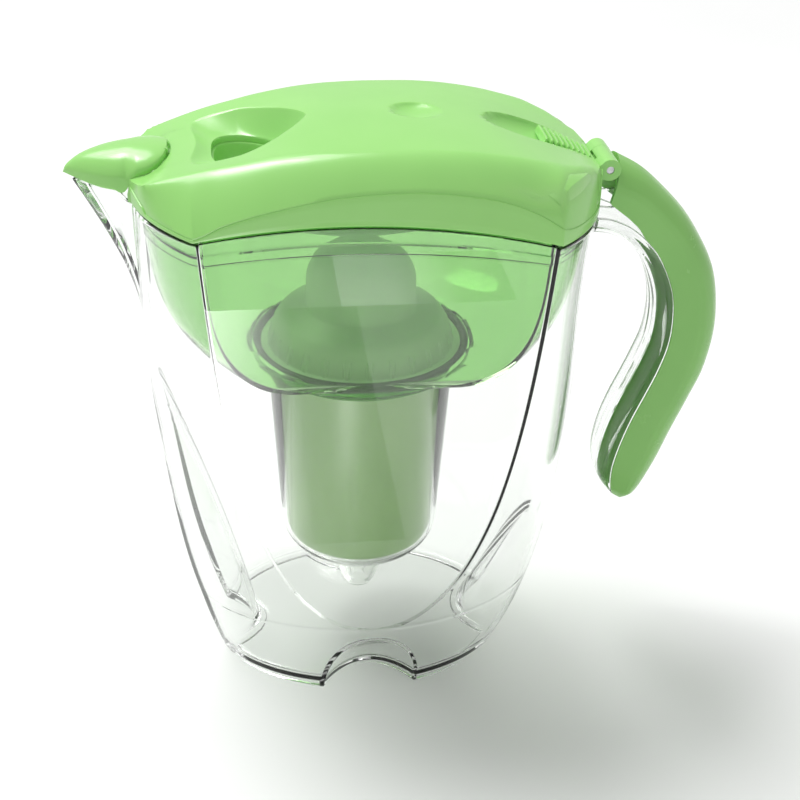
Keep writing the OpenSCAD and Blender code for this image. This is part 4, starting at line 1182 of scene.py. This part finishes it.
world = bpy.data.worlds.new("studio")
sc.world = world
world.use_nodes = True
wt = world.node_tree
wt.nodes.clear()
wo = wt.nodes.new("ShaderNodeOutputWorld")
bg = wt.nodes.new("ShaderNodeBackground")
bg.inputs["Color"].default_value = (1, 1, 1, 1)
bg.inputs["Strength"].default_value = 0.58
wt.links.new(bg.outputs[0], wo.inputs[0])


def area(name, loc, target, size, power, size_y=None, colour=(1, 1, 1)):
    L = bpy.data.lights.new(name, "AREA")
    L.shape = "RECTANGLE" if size_y else "SQUARE"
    L.size = size
    if size_y:
        L.size_y = size_y
    L.energy = power
    L.color = colour
    ob = bpy.data.objects.new(name, L)
    ob.location = loc
    d = Vector(target) - Vector(loc)
    ob.rotation_mode = "QUATERNION"
    ob.rotation_quaternion = d.to_track_quat("-Z", "Y")
    sc.collection.objects.link(ob)
    return ob


def sun(name, towards, strength, spread_deg):
    """Very large soft source: towards points from the object to the light."""
    L = bpy.data.lights.new(name, "SUN")
    L.energy = strength
    L.angle = math.radians(spread_deg)
    ob = bpy.data.objects.new(name, L)
    ob.location = Vector(towards) * 2
    ob.rotation_mode = "QUATERNION"
    ob.rotation_quaternion = (-Vector(towards)).to_track_quat("-Z", "Y")
    sc.collection.objects.link(ob)
    return ob


def card(name, x0, x1, y0, y1, strength):
    """Bright sheet lying on the floor that only shows as a reflection, fading out towards +X."""
    k = Mat(name)
    tc = k.node("ShaderNodeTexCoord")
    sp = k.node("ShaderNodeSeparateXYZ")
    k.link(tc.outputs["Generated"], sp.inputs[0])
    em = k.node("ShaderNodeEmission")
    k.link(k.remap(sp.outputs[0], strength, 0.0), em.inputs["Strength"])
    ob = stage_sheet(name, [(x0, y0, 0.0004), (x1, y0, 0.0004), (x1, y1, 0.0004), (x0, y1, 0.0004)], k.done(em.outputs[0]))
    ob.visible_camera = ob.visible_diffuse = ob.visible_transmission = ob.visible_shadow = ob.visible_volume_scatter = False
    return ob


sun("key", (-0.30, 0.46, 0.83), 2.0, 38)
area("sheen", (-0.384, 0.313, 1.33), (-0.06, -0.035, 0.237), 0.3, 5)
card("panel_card", -0.12, 0.03, -0.42, -0.16, 11.0)
card("facet_card", 0.02, 0.14, -0.5, -0.42, 3.0)

# camera at the photo's angle: azimuth -8.4, elevation 31.25, roll 1.79
AZ, EL, ROLL, DIST, F_PX = math.radians(-8.4), math.radians(31.25), math.radians(1.79), 0.600, 1380.96
T = Vector((0.02193, 0.0, 0.11706))
back = Vector((math.sin(AZ) * math.cos(EL), -math.cos(AZ) * math.cos(EL), math.sin(EL)))
right0 = Vector((math.cos(AZ), math.sin(AZ), 0))
up0 = back.cross(right0)
right = math.cos(ROLL) * right0 + math.sin(ROLL) * up0
up = -math.sin(ROLL) * right0 + math.cos(ROLL) * up0
cam_data = bpy.data.cameras.new("camera")
cam_data.sensor_width = 36
cam_data.sensor_fit = "HORIZONTAL"
cam_data.lens = F_PX / 800 * 36
cam_data.shift_x = (400 - 409.82) / 800
cam_data.clip_start, cam_data.clip_end = 0.01, 50
cam = bpy.data.objects.new("camera", cam_data)
sc.collection.objects.link(cam)
cam.matrix_world = Matrix(((right.x, up.x, back.x, 0), (right.y, up.y, back.y, 0), (right.z, up.z, back.z, 0), (0, 0, 0, 1)))
cam.location = T + back * DIST
sc.camera = cam

sc.view_settings.view_transform = "Standard"
sc.view_settings.look = "None"
sc.cycles.max_bounces = 32
sc.cycles.transmission_bounces = 28
sc.cycles.transparent_max_bounces = 32
sc.cycles.glossy_bounces = 8
sc.cycles.diffuse_bounces = 5
sc.cycles.caustics_reflective = False
sc.cycles.caustics_refractive = False
